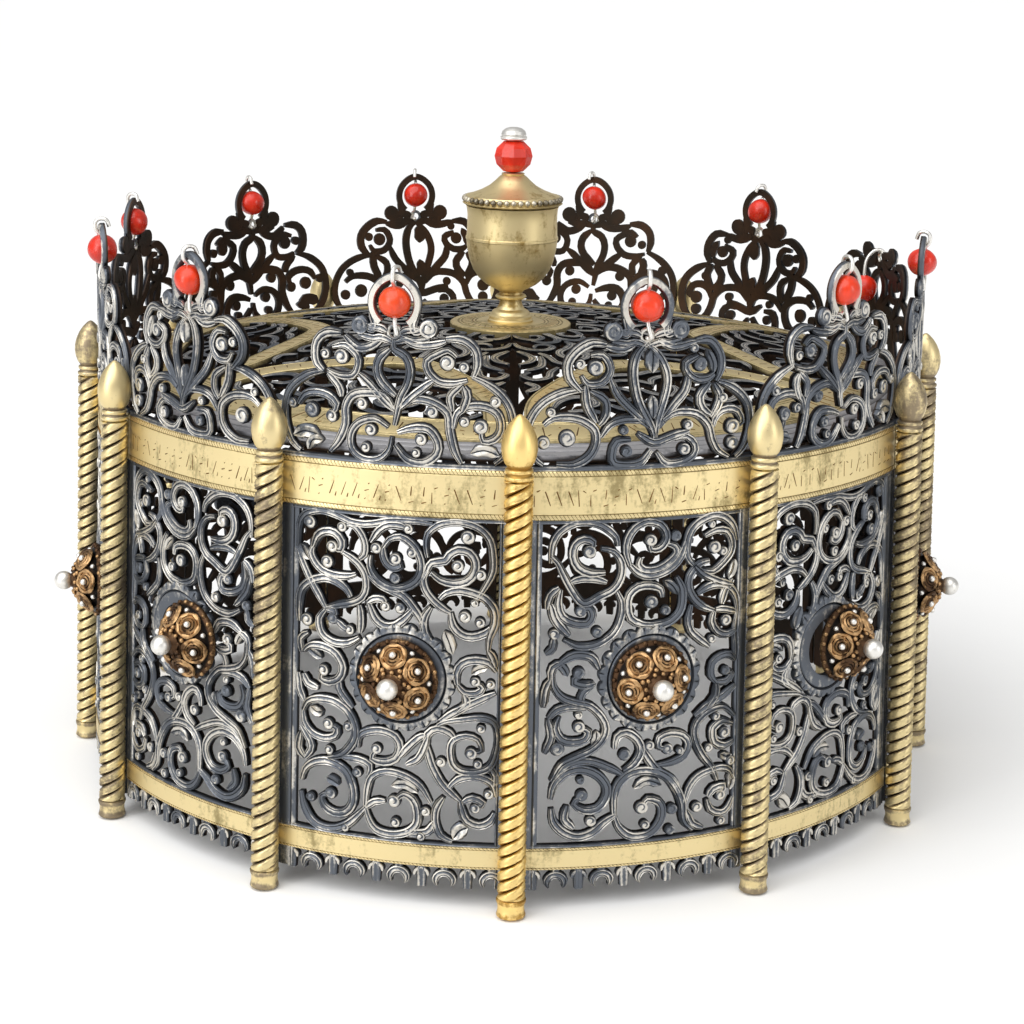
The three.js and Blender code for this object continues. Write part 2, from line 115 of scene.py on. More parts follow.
FIELD_LEFT = """
-21.3 74.6 -21.2 79.2 -19.9 81.5 -17.2 82.6 -15 82.8 -11.7 82.1 -9 81.2 -5.8 81 -3 81.5 -.4 82.1 \
5 82.4 8.7 82
-21.3 74.2 -19.9 71 -18.1 67.8 -16 64.6 -14.5 62.4
-17.6 75.1 -16.7 77.4 -14.9 78.6 -12.6 78.5 -11 76.9 -11.3 75.2 @ -13.1 75.6 1.3
-11 74.7 -9.9 74.2 -7.6 72.8 -5.8 70.5 -5.4 67.8 -6.3 65.5 -8.5 64.2 -11.7 63.3 -14.5 62.4
-17.6 75.1 -18.1 73.7 -17.2 71.9 -15.4 70.3 -12.6 69.6 -9.9 69.6 -7.6 70.3
@ -18.5 80.1 1.4 -14.3 72.2 1.4 -11 79.9 1.1
* 2.2 -20.7 75.3 -19.6 73.4 -18.6 72.2
-9.9 80.5 -8.1 80.3 -6.5 78.5 -5.8 76.5 -6 74.6 -7 73.6
-1.7 76.5 -.4 78.3 1.9 79 4.2 77.8 5.8 75.8 6.5 73.3 6 70.8 4.2 69 1.5 68.1 -1.3 68.5 -3.5 70.1 \
-4.7 72.4 -4.5 74.6
-1.7 76.5 -1.7 74.8 -.9 73.2 .5 72.4 2 72.9 @ 1 74.3 1.3
@ -3.3 76.2 1.2 4.4 75.8 1.1 .9 70.2 1.2
-4.5 77.4 -2.6 80.1 -.4 81.3 2 81.3 @ 3.6 80.8 1.1
-4.9 70.3 -2.6 68.7 .1 67.6 2.8 66.5 4.6 64.6 6.2 62.4 7.4 60.2
-5 64.6 -3.5 65.5 -1.7 65.5 @ -1.1 64.1 1.1
-4.9 64.8 -4 62.5 -3.1 61 -1.3 59.9 1 60.1 3.3 61.9 4.9 63.9
@ 2.1 64 1.2
-6.8 63.9 -6.5 61 -6.6 58
-20.8 58.7 -21 62.4 -20.4 65.5 -18.1 67.6 -14.9 68.7 -12.2 68.3 -9.9 66.9 -8.8 65.3
-14.5 62.1 -16 60.1 -15.8 57.8 -14.5 56 -11.7 55.1 -9 55.5 -6.7 56.9
-14.5 62.1 -12.6 61.9 @ -12.9 60.2 1.2
-11.9 60 -10.4 58.7 @ -8.9 58.3 1.1
@ -19 59.2 1.4
7.8 75.1 7.4 77.4 7.8 80.1 9.9 81.9 12.4 82.6 15.5 82.6 18.7 81.5 20.8 79.2 21.5 76 21.5 72.8 \
20.5 70.5 19.2 68.3 17.6 66
@ 16.2 79.7 1.5
6.9 70.5 7.8 72.4 8.7 74 11.5 74.6 12.4 75.8 14.2 76.9 16.5 76.5 17.8 74.6 17.6 72.4 16 70.5 13.3 \
69.9 10.5 70.5 8.7 71.9
@ 14.2 73.6 1.3 19 71.9 1.2
7.8 72.4 6.9 70.5 7.4 68.3 8.7 66.5 11 64.6 12.8 63.7
10.5 66.5 11.9 67.8 14.6 68.5 17.4 68 20.1 66.9 21.9 64.6 22.1 61.9 21 58.7 20.8 56
12.8 63.7 13.3 61 15.1 59.2 17.4 58.7 20.1 59.6 21.7 61.2
8.7 64.8 7.4 62.8 7.1 60.5 7.8 58.3 9.6 56.5
@ 15.8 63 1.3 19 61.9 1.1 17.8 66 .9
* 2.6 11.6 59.8 12.6 57.4 13.4 55
-19.5 52.5 -18 53.8 -15 54 -12 52.8 -10.4 50 -11.3 47.5 -13.5 46.5 -15.3 47 @ -14.8 48.9 1.3
* 2.2 -18.6 53.2 -16.8 52 -15.2 51.4
-19.5 47.5 -18.5 45.5 -16 44.8
-11.3 47.5 -11.3 45.5 -10 43.5 -8 41.5
-20 52 -20.4 55 -18.5 56.5
-19.5 39.5 -18.5 41.5 -16 42.5 -12.5 42.5 -9.5 41 -7.8 38.5 -7.3 35.5 -8.5 33 -10.5 31 -13.5 30
-19.5 39.5 -19.3 37 -17.5 34.8 -14.5 34 -12 34.8 -11.5 36.5 @ -13.6 37.3 1.3
* 2.4 -17.8 40.5 -16.3 39.5 -14.8 39.8
@ -9 37.3 1.1 -13.3 31.6 1.1
-20 36 -17.5 32 -19 29
-6.8 33 -6.5 35.5 -4.5 36.8 -1.5 37.3 1.5 36.3 2.5 34 1.5 31.5 -1 30.5 -3.5 31 @ -2.6 33.2 1.2
2.5 32 4.5 34.5 6.5 36.5 8 37.3
4 30.5 6.5 32 7.8 34.5 8.5 36.8
8 35 8.5 37.5 10.5 38.8 13 38 14 36.8
10.5 39.5 12 40.3 15.5 41 19.5 41.5 22.3 40.5 23.2 37.5 22.8 34 21.5 31 18.5 29.8 15.5 30 13.8 \
31.5 13.3 34.5 14 36.5 16.5 37.5 19 36.8 19.8 34.5 @ 17.6 33.8 1.3
@ 19.6 39.2 1 19 31.5 1
11 40.5 14 42.5 17.5 44.5 22.5 47
14.5 48.5 14.3 51 15.5 53 18 53.8 21 53.3 22.6 51.5
14.5 48.5 16 46.8 18.5 46.8 19.8 48 @ 18.2 49.3 1.1
* 2 17.4 51 19 52 20.6 52.3
@ 21.4 48.8 1
16 46.5 16.5 44.5 14.5 42.5
8 36 8.5 33.5 9.5 30.5 11.5 27 14 24.5 15.5 23.3
@ 11.3 31.6 1.1
-19.8 24 -19 26.5 -16.5 28.5 -13 29 -9.5 27.5 -7.8 24 -7.8 20.5 -9.5 18.3 -12 17.8 -14.3 19 -15 \
21 @ -12.9 22 1.3
-19.8 21.5 -19 18 -17 15.2 -14.5 14.2 -11.5 14.4 -8.5 16 -6.5 18 -4.8 20
* 2.2 -13.8 25.4 -12.3 25 -10.8 24.2
@ -17.5 20.5 1.1 -9.4 15 1 -6.8 27.5 1.1
-10 30.5 -6.5 30.5 -4 29.5 -4.3 27.5
-4.8 20 -4.5 24 -3.5 27 -.5 28.5 3.5 28 7 26 9.3 22.5
-4.8 20 -4 17.5 -2.5 15.5 .5 14.8 4 15.5 6.3 17.5 6.5 20.5 5.5 23 3.5 24 @ 1.4 22.2 1.4
-4.8 20 -3 21.5 -.5 22
* 2.2 .8 25.6 3.8 26 6.6 24.6
@ 1.8 17.6 1.1 8.2 20.6 1.1 7.3 15 1
4 15.5 8.5 16 10.3 18.5
12 24 10.5 21.5 10.3 18.5 11.5 15.5 14 14.4
13 26 15 28 18.5 28.8 22 27.5 23 24.5
15.5 23.3 16 21 17 19 19.5 18 21.8 19 22.8 21
16 23 18 24 20.3 23 @ 18.6 21.8 1.1
@ 21.4 25 1.1
* 3.4 14.2 15 15.6 16.8 17.2 17.6
21.5 31 22.8 29 22.6 26.8
-19 29 -20.6 31 -20 34.5
-21 47.5 -20.6 44 -19.3 41.5
20.8 56 21.8 54.4 22.4 52.6
"""

FIELD_RIGHT = """
-19.3 74.6 -19 78.3 -17.5 81 -14.3 82.8 -10.6 82.8 -7.9 81.7 -5.6 79.6 -5.2 77.8
-8.8 77.4 -6.1 76.7 -4.3 74.2 -4.5 71 -6.1 68.7 -8.8 67.4 -11.5 66 -13.1 66.5 -14.7 68.7 -16.5 \
71.9 -17.9 74.6 -19.3 76
-7.9 72.4 -11.1 72.4 -13.6 73.7 -14.7 76 -14.3 78.3 -12.5 79.4 -10.6 78.7 @ -11.3 76.9 1.4
-15.2 70.5 -12.9 71.2 -9.7 71 -7.5 70.3
-20 65 -19.3 67.8 -17.5 69.4
-17.2 69 -17.7 66 -16.8 63.3 -14.3 61.9 -11.5 61.7 -10.4 63.3 -11.1 64.9 @ -12.9 64.4 1.2
-19.3 66 -18.5 63 -17 61 -15.2 59.2
-5.2 68.3 -4 65.5 -4.3 62.4 -5.6 59.6 -7.9 57.8 -10.2 56.9 -13.4 56.9 -16.4 58.4
@ -18.4 59.6 1.2 -9.3 59.8 1.2
-2.5 73.7 -3.4 76.5 -3.1 79.2 -1.5 81.5 1.2 82.6 3.9 81.9 5.3 80.1 5.3 78.3 3.9 76.9 2.1 76.9 @ \
1.9 78.7 1.3
-.2 75.1 -.6 73.7 .7 72.4 3.5 72.4 6.2 73.7 8 75.5 7.5 77.1 5.5 77.8
-2.5 73.7 -.6 71.9 2.1 71.2 5.3 71.9 8 73.7 9.4 76 9.9 78
@ 7.6 79.2 1.2
4.8 66.5 4.4 68.3 2.1 69.2 -.6 69 -2.5 67.4 -2.9 65.1 -2.2 62.4 .3 61 3 60.8
8 70.5 9.4 67.8 9.6 65.1 8.9 62.8 6.6 61 3.9 60.5 1 60.8
@ 2.4 65.6 1.4 5.6 63.6 1.1
* 2 5.2 70 7.1 68.7 8.4 66.8
11.9 72.8 10.5 74.6 10.3 77.4 11.2 80.1 13.5 81.9 16.6 82.8 19.4 82 21.6 79.8 22.4 77
14.4 78.7 17.1 79.6 19.8 79.2 21.2 76.9 21 74.6 18.9 72.4 16.6 71 14 71.5
@ 16.9 76 1.4 19 75 1 16 81 .9
* 2 22 72.9 21.6 70.6 20.4 69
15.7 73.3 13.5 72.8 11.2 70.5 11 67.8 12.5 65.1 14.8 63.3 17.1 62.4
13 66.5 15.7 67.8 18.9 67.8 21.4 66.5 22.8 64.2 23 61.5
12.2 72.5 14.4 70.5 18 68.7 21.6 67.6
21.6 68.7 19.8 66.5 18.9 63.7
17.1 62.4 16.6 60.1 18 57.8 20.4 56.9 22.6 57.8
17.5 62.6 19.8 62.4 22.6 61.5
@ 20 60 1.3 16.6 56.4 1
11.6 64.2 11 61.5 11.6 58.7 13.9 56.5 16.2 54.7
-19 50 -18.5 52.5 -16.5 53.5
-18.5 51.5 -18.3 48.5 -16.5 46 -13.5 44.8 -10.5 44 -8 41.5 -7 39 -7.8 36.5 -10 34.5 -13.5 33 \
-16.5 31.5 -18.5 28
* 2 -17.6 53.4 -16.2 52.2 -15.4 50.6
-9.8 49 -11.3 48.5 -13.8 49.2 @ -13 51.2 1.3
-9.5 49 -12 47 -12.5 45 -11.5 43.5
-17 53.5 -14 55 -10.5 54.5 -8.8 52
-19.3 41.5 -17.5 43.3 -14.5 44 -11.3 43.5
-17 42 -17.8 39.5 -16.5 37 -14 36.3 -11.5 36.8 -10.8 38.5 @ -12.8 39.6 1.3
@ -17.3 35 1.5 -13 42.2 .9
* 2.2 -9 38.6 -9 36.8 -10 35.6
-5 34.5 -4.5 37 -2.5 37.8 0 36 .8 33.5 -.5 31 -3 29.5
@ -2.8 33 1.3
.8 34.5 2.5 31.5 5 28.5 8 26.5 10 23.5
4.5 30 8 30.3 10.8 31.5 11.8 34 10.5 36 7.5 36.8 5 36 4.8 34 @ 6.8 33.4 1.2
@ 9.6 32.8 .9 2.6 34.6 1.1
22.8 38.8 21 40.6 19 41.3 16 40.5 13.5 38.5 13 36 14 33 15.5 30.5 17.5 28 18.8 25
22.5 37 20 38 18 37 17.5 36 18 33.5 20.5 32.3 22.8 33.2
@ 20.3 35.4 1.3 18 39.3 1 16.4 32.5 1 22 28.8 1.1
* 2 19.6 30.6 21.2 29.8 22.4 30.2
18 46.8 16.8 48.5 17 51 19 52.3 21.4 52.3 22.8 51
18 46.8 20.5 46.5 22 48 @ 20.3 49 1.1
13 40 16.5 42 20 43.6 22.8 45.5
18 46.5 18 44 16 41.5
-18.5 24 -17.8 27 -15.5 29.5 -12 30.3 -8.5 28.8 -6.5 26 -6.8 23.5 -8.5 21.5 -11.3 21.3 -13.5 22.8 \
@ -11.9 24.6 1.3
@ -12.3 28 .9
-18 28 -15 31.3 -10.5 32 -5.5 30 -3 28.5
-18.3 22 -17.8 19 -15.5 16.5 -12.5 15.5 -9.5 16.3 -7 18.4 -4.5 20
-15 22.5 -15.5 19.5 -13.5 17.4
@ -9.9 18.9 1.2
-4.8 20 -4.8 24 -3.8 27 -1 29 3 29 6.5 27.5 9 24.5 10.5 21 11 17 13 14.8
-4.8 20 -4 17.5 -2 15.3 .5 14.6 3.5 15.3 5.5 17.5 6 20 5 22 2.5 22.8 @ 1.2 21 1.4
@ 2 17.2 1 8.1 20 1.2 7.7 15.4 1.1
* 2.2 -.6 25.4 2.4 26.8 5.6 25.6
11 21 12 24 14 26.3 17 27.3 20 27.5 22 26.6 23 24.5
16.5 21 17.5 18.5 20 17.3 22 18.2 23 20.5
16.7 21.5 18 23 20.5 23.3 @ 19.7 21.4 1.2
11.5 19 13 16 15.5 14.8
@ 14 19.6 1.2 20 15.6 1
* 2 22 22.4 22.6 24.2 22 26
-20 34 -18.5 37.6 -19.3 41.5
-20.4 44 -20 47.6 -19 50
-20.2 55.4 -18.6 56.6 -18.4 59
23 61.5 22.6 57.8 22.9 54 22.8 51
"""

CREST_LEFT = """
-2 120 -5 117.8 -8 117.3 -10.8 119.5
1.5 120 5 118.5 9 118.8 11 119.5
-11.5 120 -15 119.8 -17.1 118 -17.6 115.5 -17.1 113.3 -15.5 112
-13.5 117 -10.5 117.5 -8 115.5 -7.8 113.5 -9 111.5 -12 111.3 -14.5 112.2
@ -11.4 115.2 1.6 -15.1 115.5 1.1
11 120 14.5 119.9 17 118 17.5 115 16.7 112.5
13.3 116.5 11.5 117.8 9.3 117 7 115.5 7.3 113.3 9.5 111.3 12.5 111 15.5 111.8
@ 11.3 115.2 1.6 14.8 114.4 1.1
-.8 117.5 -3 115.5 -3.6 113 -2.5 110.5 .5 108
0 119.4 0 117.5 2.5 116 3.5 113.5 3 110.5 1.5 107.5 .3 102
.5 105 -2 107 -5 110 -7.5 112
1.5 105.5 4 108 6.5 110 8.5 111.5
.5 105 -2 108 -6 108.3 -9 107.5 -10.5 105 -10.5 101.5 -12 98 -14 95.5
@ -6.8 105.9 1.3 8.3 105.1 1.3
2 106 5 107.5 8.5 107 11.5 105 12 101.5 13 97.5 14.5 94.8
-1 101.5 -4 103 -7.5 102 -9.3 99.5 -9 96.5 -6.5 94.6 -3 94.8 -.8 97 -.3 99.5
@ -4.8 100.7 1.3 -5.9 97 1.1
1 100.5 4 101.5 7.5 101.5 9.5 99 9.3 96.5 6.5 94.6 3 95.2 .5 98
@ 6 99.4 1.3 5 96.6 1
-15.5 112 -19 111 -22.2 109 -24.2 106.5 -25 103 -24.6 99.5 -23 96.5 -21 95
-21.5 104.6 -20 106.6 -17.5 107.4 -14.5 107 -12.5 105.4 @ -13.6 102.8 1.3
@ -23 104.6 1.1 -18.4 103.6 1.6
* 3 -22.6 98 -20 99 -16.6 98.6
* 2.4 -19 95.4 -18 97.4 -15.6 97.6
16.5 112.5 19 111.4 21.8 109.6 24 107 25 103.8 24.8 100 23.4 96.8 21.4 95
@ 21.4 107.6 1.2
12.8 102 13.5 105 16 106.5 19.5 106.5 22 105 22.6 102 21.3 100 19 99.6 @ 18.4 102.4 1.5
@ 15 103.4 1.1
* 2.6 16.4 97 19.4 97.6 22.4 96.6
14.5 111 12 108.5 12.5 105.5
14.8 110.5 15.5 108.5 14.5 105.5
-14.5 111.6 -12 109 -11.4 107
"""

CREST_RIGHT = """
-2.2 120 -5 118.4 -8.8 119
2.2 120 6 118.4 11 119.3
-8.8 119.4 -11.5 119.8 -14.5 118.4 -16.6 115.8 -16.4 112.6 -14 110
-13.8 113 -12.5 111.3 -9.5 111.5 -7.8 113.5 -8 115.5 -9.5 117.3 -12 117.2
@ -10.9 114.6 1.6 -14.2 115.4 1.1
11 119.4 14.4 119.3 16.8 116.6 17.2 113.4 16 111
11.5 116.4 8.8 115 9.3 113 11.5 111.5 14 111.5 15.4 112.5
@ 12.2 114.6 1.5 10.6 118 1
* 2 13.8 117.4 15.2 114.6 15.2 112.6
-.3 119.3 -2 117.5 -2.8 114.5 -2.5 111 -1.3 107 1.5 102 2 100
0 119.3 2.5 117 4.3 114 4.8 111 4 107.5 2.8 103.5 2.3 100
* 3.2 1.2 118.4 1.4 116 1.2 113.4
* 2.4 1.5 108.6 1.8 106.4 1.8 104
1.5 102 -3 106 -6 109 -7.8 112.5
3 102 6 106 9 109.5 9.5 113
-13 111 -12.5 107 -10.5 103.5
-12 110 -8.8 108 -8.5 105 -10 103
14.5 110.8 12.3 108 13 105.5 15 104
15.5 110.5 17.1 108 16.5 105.5 15 103.5
-13 110.3 -16.5 109.9 -20 108.6 -22.8 106.4 -24.6 103 -24.8 99.4 -23.4 96.4 -21.4 94.8
-21.4 103 -19.4 104.4 -16.6 104.6 -13.5 104 -10.8 102 -10.5 99 -12 96.4 -15 94.9 -18.6 95
@ -16.5 100.3 1.7 -21.4 99.4 1.3 -20 105.6 1
1 103.5 -4 104 -7.5 103 -9.5 100.5
4 103.5 7 105 11.5 104.5 14.5 102 15.5 99 17 96.5 19.5 95
-3 99.8 -6 99.5 -7 97 -6.5 95 -3.5 94.5 -.5 95 1.5 97.5
@ -3.9 97.4 1.2 -4.6 101.8 1 8.9 97.3 1.3 9.6 102.3 1.1
7 99.5 9.5 99.8 11.5 98 11.3 96 8.5 94.6 5 94.6 2.8 97
-1.5 101 2 99 6 100 10 101
16.6 110.8 19.4 109.8 22.2 108 24.2 105.6 25 102.4 24.7 99 23.4 96.4 21.4 94.8
15.5 101.5 16.5 104 19 105 21.6 104.3 22.7 102 @ 20.4 101.2 1.6
@ 20.4 97.8 1.4 17.6 107.4 1.1
"""

# ---- Putting shapes together -----------------------------------------------------------------


def wall_radius(up):
    """Distance from the crown's axis to the middle of the sheet, at a height."""
    return WALL_RADIUS - TAPER * up - CREST_LEAN * np.maximum(0, up - CREST_FOOT)


def bent(points, angle, mirrored=False):
    """Points across, up and out on a panel, bent round the crown at an angle from the front."""
    across, up, out = np.asarray(points, float).T
    turn = angle + (-across if mirrored else across) / WALL_RADIUS
    radius = wall_radius(up) + out
    return np.stack([radius * np.sin(turn), -radius * np.cos(turn), up], 1)


def on_dome(points):
    """Points on the dome's plan, with their height above its face."""
    x, y, out = np.asarray(points, float).T
    return np.stack([x, y, DOME_TOP - DOME_DROP * (x * x + y * y) + out], 1)


def turned(points, angle):
    """Points turned about the crown's axis, to the right of the front for a positive angle."""
    c, s = math.cos(angle), math.sin(angle)
    x, y, z = np.asarray(points, float).T
    return np.stack([x * c - y * s, x * s + y * c, z], 1)


class Shape:
    """A mesh while it is put together: points, faces, and how worn bright each point is, which on
    the columns is a painted highlight and painted shade.
    """

    def __init__(self):
        self.points, self.wear, self.inner = [], [], []
        self.quads, self.tris = [], []
        self.count = 0

    def add(self, points, quads=(), tris=(), wear=1.0, inner=0.0):
        """Adds one closed form, with its faces turned to look outward."""
        points = np.asarray(points, float).reshape(-1, 3)
        quads = np.asarray(quads, int).reshape(-1, 4)
        tris = np.asarray(tris, int).reshape(-1, 3)
        flat = np.concatenate([quads[:, :3], quads[:, [0, 2, 3]], tris])
        a, b, c = (points[flat[:, i]] - points[0] for i in range(3))
        if np.einsum("ij,ij->", a, np.cross(b, c)) < 0:
            quads, tris = quads[:, ::-1], tris[:, ::-1]
        self.quads.append(quads + self.count)
        self.tris.append(tris + self.count)
        self.points.append(points)
        for kept, value in ((self.wear, wear), (self.inner, inner)):
            kept.append(np.broadcast_to(np.asarray(value, float).ravel(), (len(points),)))
        self.count += len(points)

    def grid(self, points, wear=1.0, inner=0.0, round_rows=False):
        """Rows of points, each closed. The end rows are capped, or are one point each."""
        rows, cols = points.shape[:2]
        to_point = [not round_rows and np.ptp(points[end], axis=0).max() < POINT_SIZE
                    for end in (0, -1)]
        keep = np.ones((rows, cols), bool)
        for end, pointed in zip((0, -1), to_point):
            keep[end, 1:] = not pointed
        index = np.cumsum(keep).reshape(rows, cols) - 1
        after = np.roll(index, -1, 0) if round_rows else index[1:]
        before = index if round_rows else index[:-1]
        quads = np.stack([before, np.roll(before, -1, 1), np.roll(after, -1, 1), after], -1)
        tris = []
        if to_point[0]:
            tris += quads[0][:, [0, 2, 3]].tolist()
        elif not round_rows:
            tris += [(index[0, 0], index[0, k + 1], index[0, k]) for k in range(1, cols - 1)]
        if to_point[1]:
            tris += quads[-1][:, [0, 1, 2]].tolist()
        elif not round_rows:
            tris += [(index[-1, 0], index[-1, k], index[-1, k + 1]) for k in range(1, cols - 1)]
        quads = quads[int(to_point[0]):len(quads) - int(to_point[1])]
        self.add(points[keep], quads, tris, *(np.broadcast_to(value, (rows, cols))[keep]
                                              for value in (wear, inner)))

    def joined(self):
        return (np.concatenate(self.points), np.concatenate(self.quads),
                np.concatenate(self.tris), np.concatenate(self.wear),
                np.concatenate(self.inner))

    def copy_from(self, other, place, mirrored=False):
        """Adds another shape, with its points moved by a function."""
        points, quads, tris, wear, inner = other.joined()
        if mirrored:
            quads, tris = quads[:, ::-1], tris[:, ::-1]
        self.points.append(place(points))
        self.quads.append(quads + self.count)
        self.tris.append(tris + self.count)
        self.wear.append(wear)
        self.inner.append(inner)
        self.count += len(points)


def piece(name, shape, material, slot, nodes, smooth_angle=50.0):
    """Makes an object in the scene from a shape, and ties it to the frame."""
    points, quads, tris, wear, inner = shape.joined()
    mesh = bpy.data.meshes.new(name)
    mesh.vertices.add(len(points))
    mesh.vertices.foreach_set("co", (points * MM).astype(np.float32).ravel())
    corners = np.concatenate([quads.ravel(), tris.ravel()])
    mesh.loops.add(len(corners))
    mesh.loops.foreach_set("vertex_index", corners.astype(np.int32))
    starts = np.concatenate([
        np.arange(len(quads)) * 4, len(quads) * 4 + np.arange(len(tris)) * 3])
    mesh.polygons.add(len(starts))
    mesh.polygons.foreach_set("loop_start", starts.astype(np.int32))
    for title, values in (("wear", wear), ("inner", inner)):
        layer = mesh.attributes.new(title, "FLOAT", "POINT")
        layer.data.foreach_set("value", values.astype(np.float32))
    mesh.update(calc_edges=True)
    mesh.validate()
    mesh.shade_smooth()
    mesh.set_sharp_from_angle(angle=math.radians(smooth_angle))
    mesh.materials.append(material)
    made = bpy.data.objects.new(name, mesh)
    bpy.context.scene.collection.objects.link(made)
    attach(made, "root")
    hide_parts(*([nodes] if isinstance(nodes, str) else nodes))
    return made


def curve(points, step):
    """A smooth line through points, with a point about every step."""
    p = np.asarray(points, float)
    p = np.vstack([2 * p[0] - p[1], p, 2 * p[-1] - p[-2]])
    line = []
    for a, b, c, d in zip(p, p[1:], p[2:], p[3:]):
        n = max(2, math.ceil(np.linalg.norm(c - b) / step))
        t = np.linspace(0, 1, n, endpoint=False)[:, None]
        line.append(0.5 * (2 * b + (c - a) * t + (2 * a - 5 * b + 4 * c - d) * t**2
                           + (3 * b - a - 3 * c + d) * t**3))
    line.append(p[-2:-1])
    return np.vstack(line)


# Half a stroke's section: across from -1 to 1, height from 0 at its root to 1, and wear.
STROKE = ((-1, 0.3, 0.02), (-0.8, 0.9, 0.6), (-0.56, 1, 1), (-0.38, 0.74, 0), (-0.04, 0.95, 0.56),
          (0.32, 0.96, 0.95), (0.47, 0.74, 0), (0.7, 0.97, 0.95), (1, 0.3, 0.02))
RAIL = ((-1, 0.5, 0.1), (-0.6, 0.95, 0.6), (0, 0.8, 0.15), (0.6, 1, 0.75), (1, 0.5, 0.1))
PLAIN = ((-1, 0.5, 0.35), (-0.6, 1, 1), (0.6, 1, 1), (1, 0.5, 0.35))
LEAF = ((-1, 0.45, 0.5), (-0.7, 0.95, 1), (-0.14, 0.7, 0.7), (0, 0.35, 0),
        (0.14, 0.7, 0.7), (0.7, 0.95, 0.9), (1, 0.45, 0.5))


def ribbon(shape, line, width, top, root, section=STROKE, ends=0.55):
    """A flat band along a line on the sheet, from a root below the face to a top above it."""
    line = np.asarray(line, float)
    along = np.gradient(line, axis=0)
    along /= np.linalg.norm(along, axis=1)[:, None] + 1e-9
    side = np.stack([along[:, 1], -along[:, 0]], 1)
    t = np.linspace(0, 1, len(line))
    broad = ends + (1 - ends) * np.minimum(1, np.sin(np.pi * t) * 1.7)
    u = np.array([-1.0] + [s[0] for s in section] + [1.0])
    h = np.array([0.0] + [s[1] for s in section] + [0.0])
    wear = np.array([0.1] + [s[2] for s in section] + [0.1])
    rise = np.where(h > 0, h * top, root)
    flat = line[:, None, :] + side[:, None, :] * (u[None, :, None] * width / 2
                                                  * broad[:, None, None])
    out = np.broadcast_to(rise, (len(line), len(u)))
    inner = np.zeros(len(u))
    inner[[0, -1]] = 1
    shape.grid(np.concatenate([flat, out[..., None]], 2),
               np.broadcast_to(wear, out.shape), np.broadcast_to(inner, out.shape))


def eye(shape, across, up, radius, top, root, turns=1.35, around=14, start=0.0):
    """A curled eye: a flat round with a spiral cut running in to a small knob."""
    rings = 7 if radius > 1 else 5
    k = np.arange(1, rings + 1)[:, None] / rings
    a = start + np.arange(around)[None, :] * 2 * math.pi / around
    spiral = (k * turns - a / (2 * math.pi)) % 1.0
    cut = np.clip(1 - np.abs(spiral - 0.5) * 3.6, 0, 1) * (k > 0.2) * (k < 0.97)
    height = top * (1.0 + 0.08 * (1 - k)) - cut * top * 0.3
    height[-1] = top * 0.3

    def ring_at(scale, z):
        return np.stack(np.broadcast_arrays(across + radius * scale * np.cos(a),
                                            up + radius * scale * np.sin(a), z), -1)

    rows = [ring_at(1e-3, np.full(around, top * 1.08)[None, :])]
    rows += [ring_at(k[i:i + 1], height[i:i + 1]) for i in range(rings)]
    rows += [ring_at(1, np.full((1, around), root))]
    wear = np.vstack([np.full((1, around), 0.9), 0.95 - 0.95 * cut, np.full((1, around), 0.1)])
    wear[-2] = 0.06
    inner = np.zeros_like(wear)
    inner[-1] = 1
    shape.grid(np.concatenate(rows), wear, inner)


def lathe(shape, profile, around=48, centre=(0, 0, 0), wear=1.0, ripple=None):
    """A turned form from (radius, height) pairs. Ripple moves the radius by row and angle."""
    profile = np.asarray(profile, float)
    a = np.arange(around)[None, :] * 2 * math.pi / around
    radius = np.maximum(profile[:, :1], 1e-3) * np.ones_like(a)
    if ripple is not None:
        radius = radius + ripple(profile[:, 1:2], a)
    points = np.stack(np.broadcast_arrays(
        radius * np.sin(a), -radius * np.cos(a), profile[:, 1:2] * np.ones_like(a)), -1)
    wear = np.asarray(wear, float)
    if wear.ndim == 1:
        wear = wear[:, None]
    shape.grid(points + np.array(centre), wear * np.ones(points.shape[:2]))


def ball(shape, centre, radius, around=12, rings=8, squash=1.0, wear=1.0, axis=None):
    """A ball, or a bead along an axis."""
    t = np.linspace(0, math.pi, rings + 1)
    z = -np.cos(t) * squash
    profile = np.stack([np.sin(t) * radius, z * radius], 1)
    if axis is None:
        lathe(shape, profile, around, centre, wear)
        return
    part = Shape()
    lathe(part, profile, around, (0, 0, 0), wear)
    matrix = np.array(Vector(axis).to_track_quat("Z", "Y").to_matrix())
    shape.copy_from(part, lambda p: p @ matrix.T + np.array(centre))


def ring(shape, centre, radius, wire, axis=(0, 0, 1), around=20, sides=6, rope=0.0, wear=1.0):
    """A ring of wire about an axis, twisted like rope where rope is more than nothing."""
    matrix = np.array(Vector(axis).to_track_quat("Z", "Y").to_matrix())
    a = np.arange(around)[:, None] * 2 * math.pi / around
    b = np.arange(sides)[None, :] * 2 * math.pi / sides
    r = wire * (1 + rope * np.cos(2 * b - a * around / 4))
    points = np.stack(np.broadcast_arrays(
        (radius + r * np.cos(b)) * np.cos(a), (radius + r * np.cos(b)) * np.sin(a),
        r * np.sin(b)), -1)
    shape.grid(points.reshape(-1, 3).dot(matrix.T).reshape(points.shape) + np.array(centre),
               np.full(points.shape[:2], wear), round_rows=True)


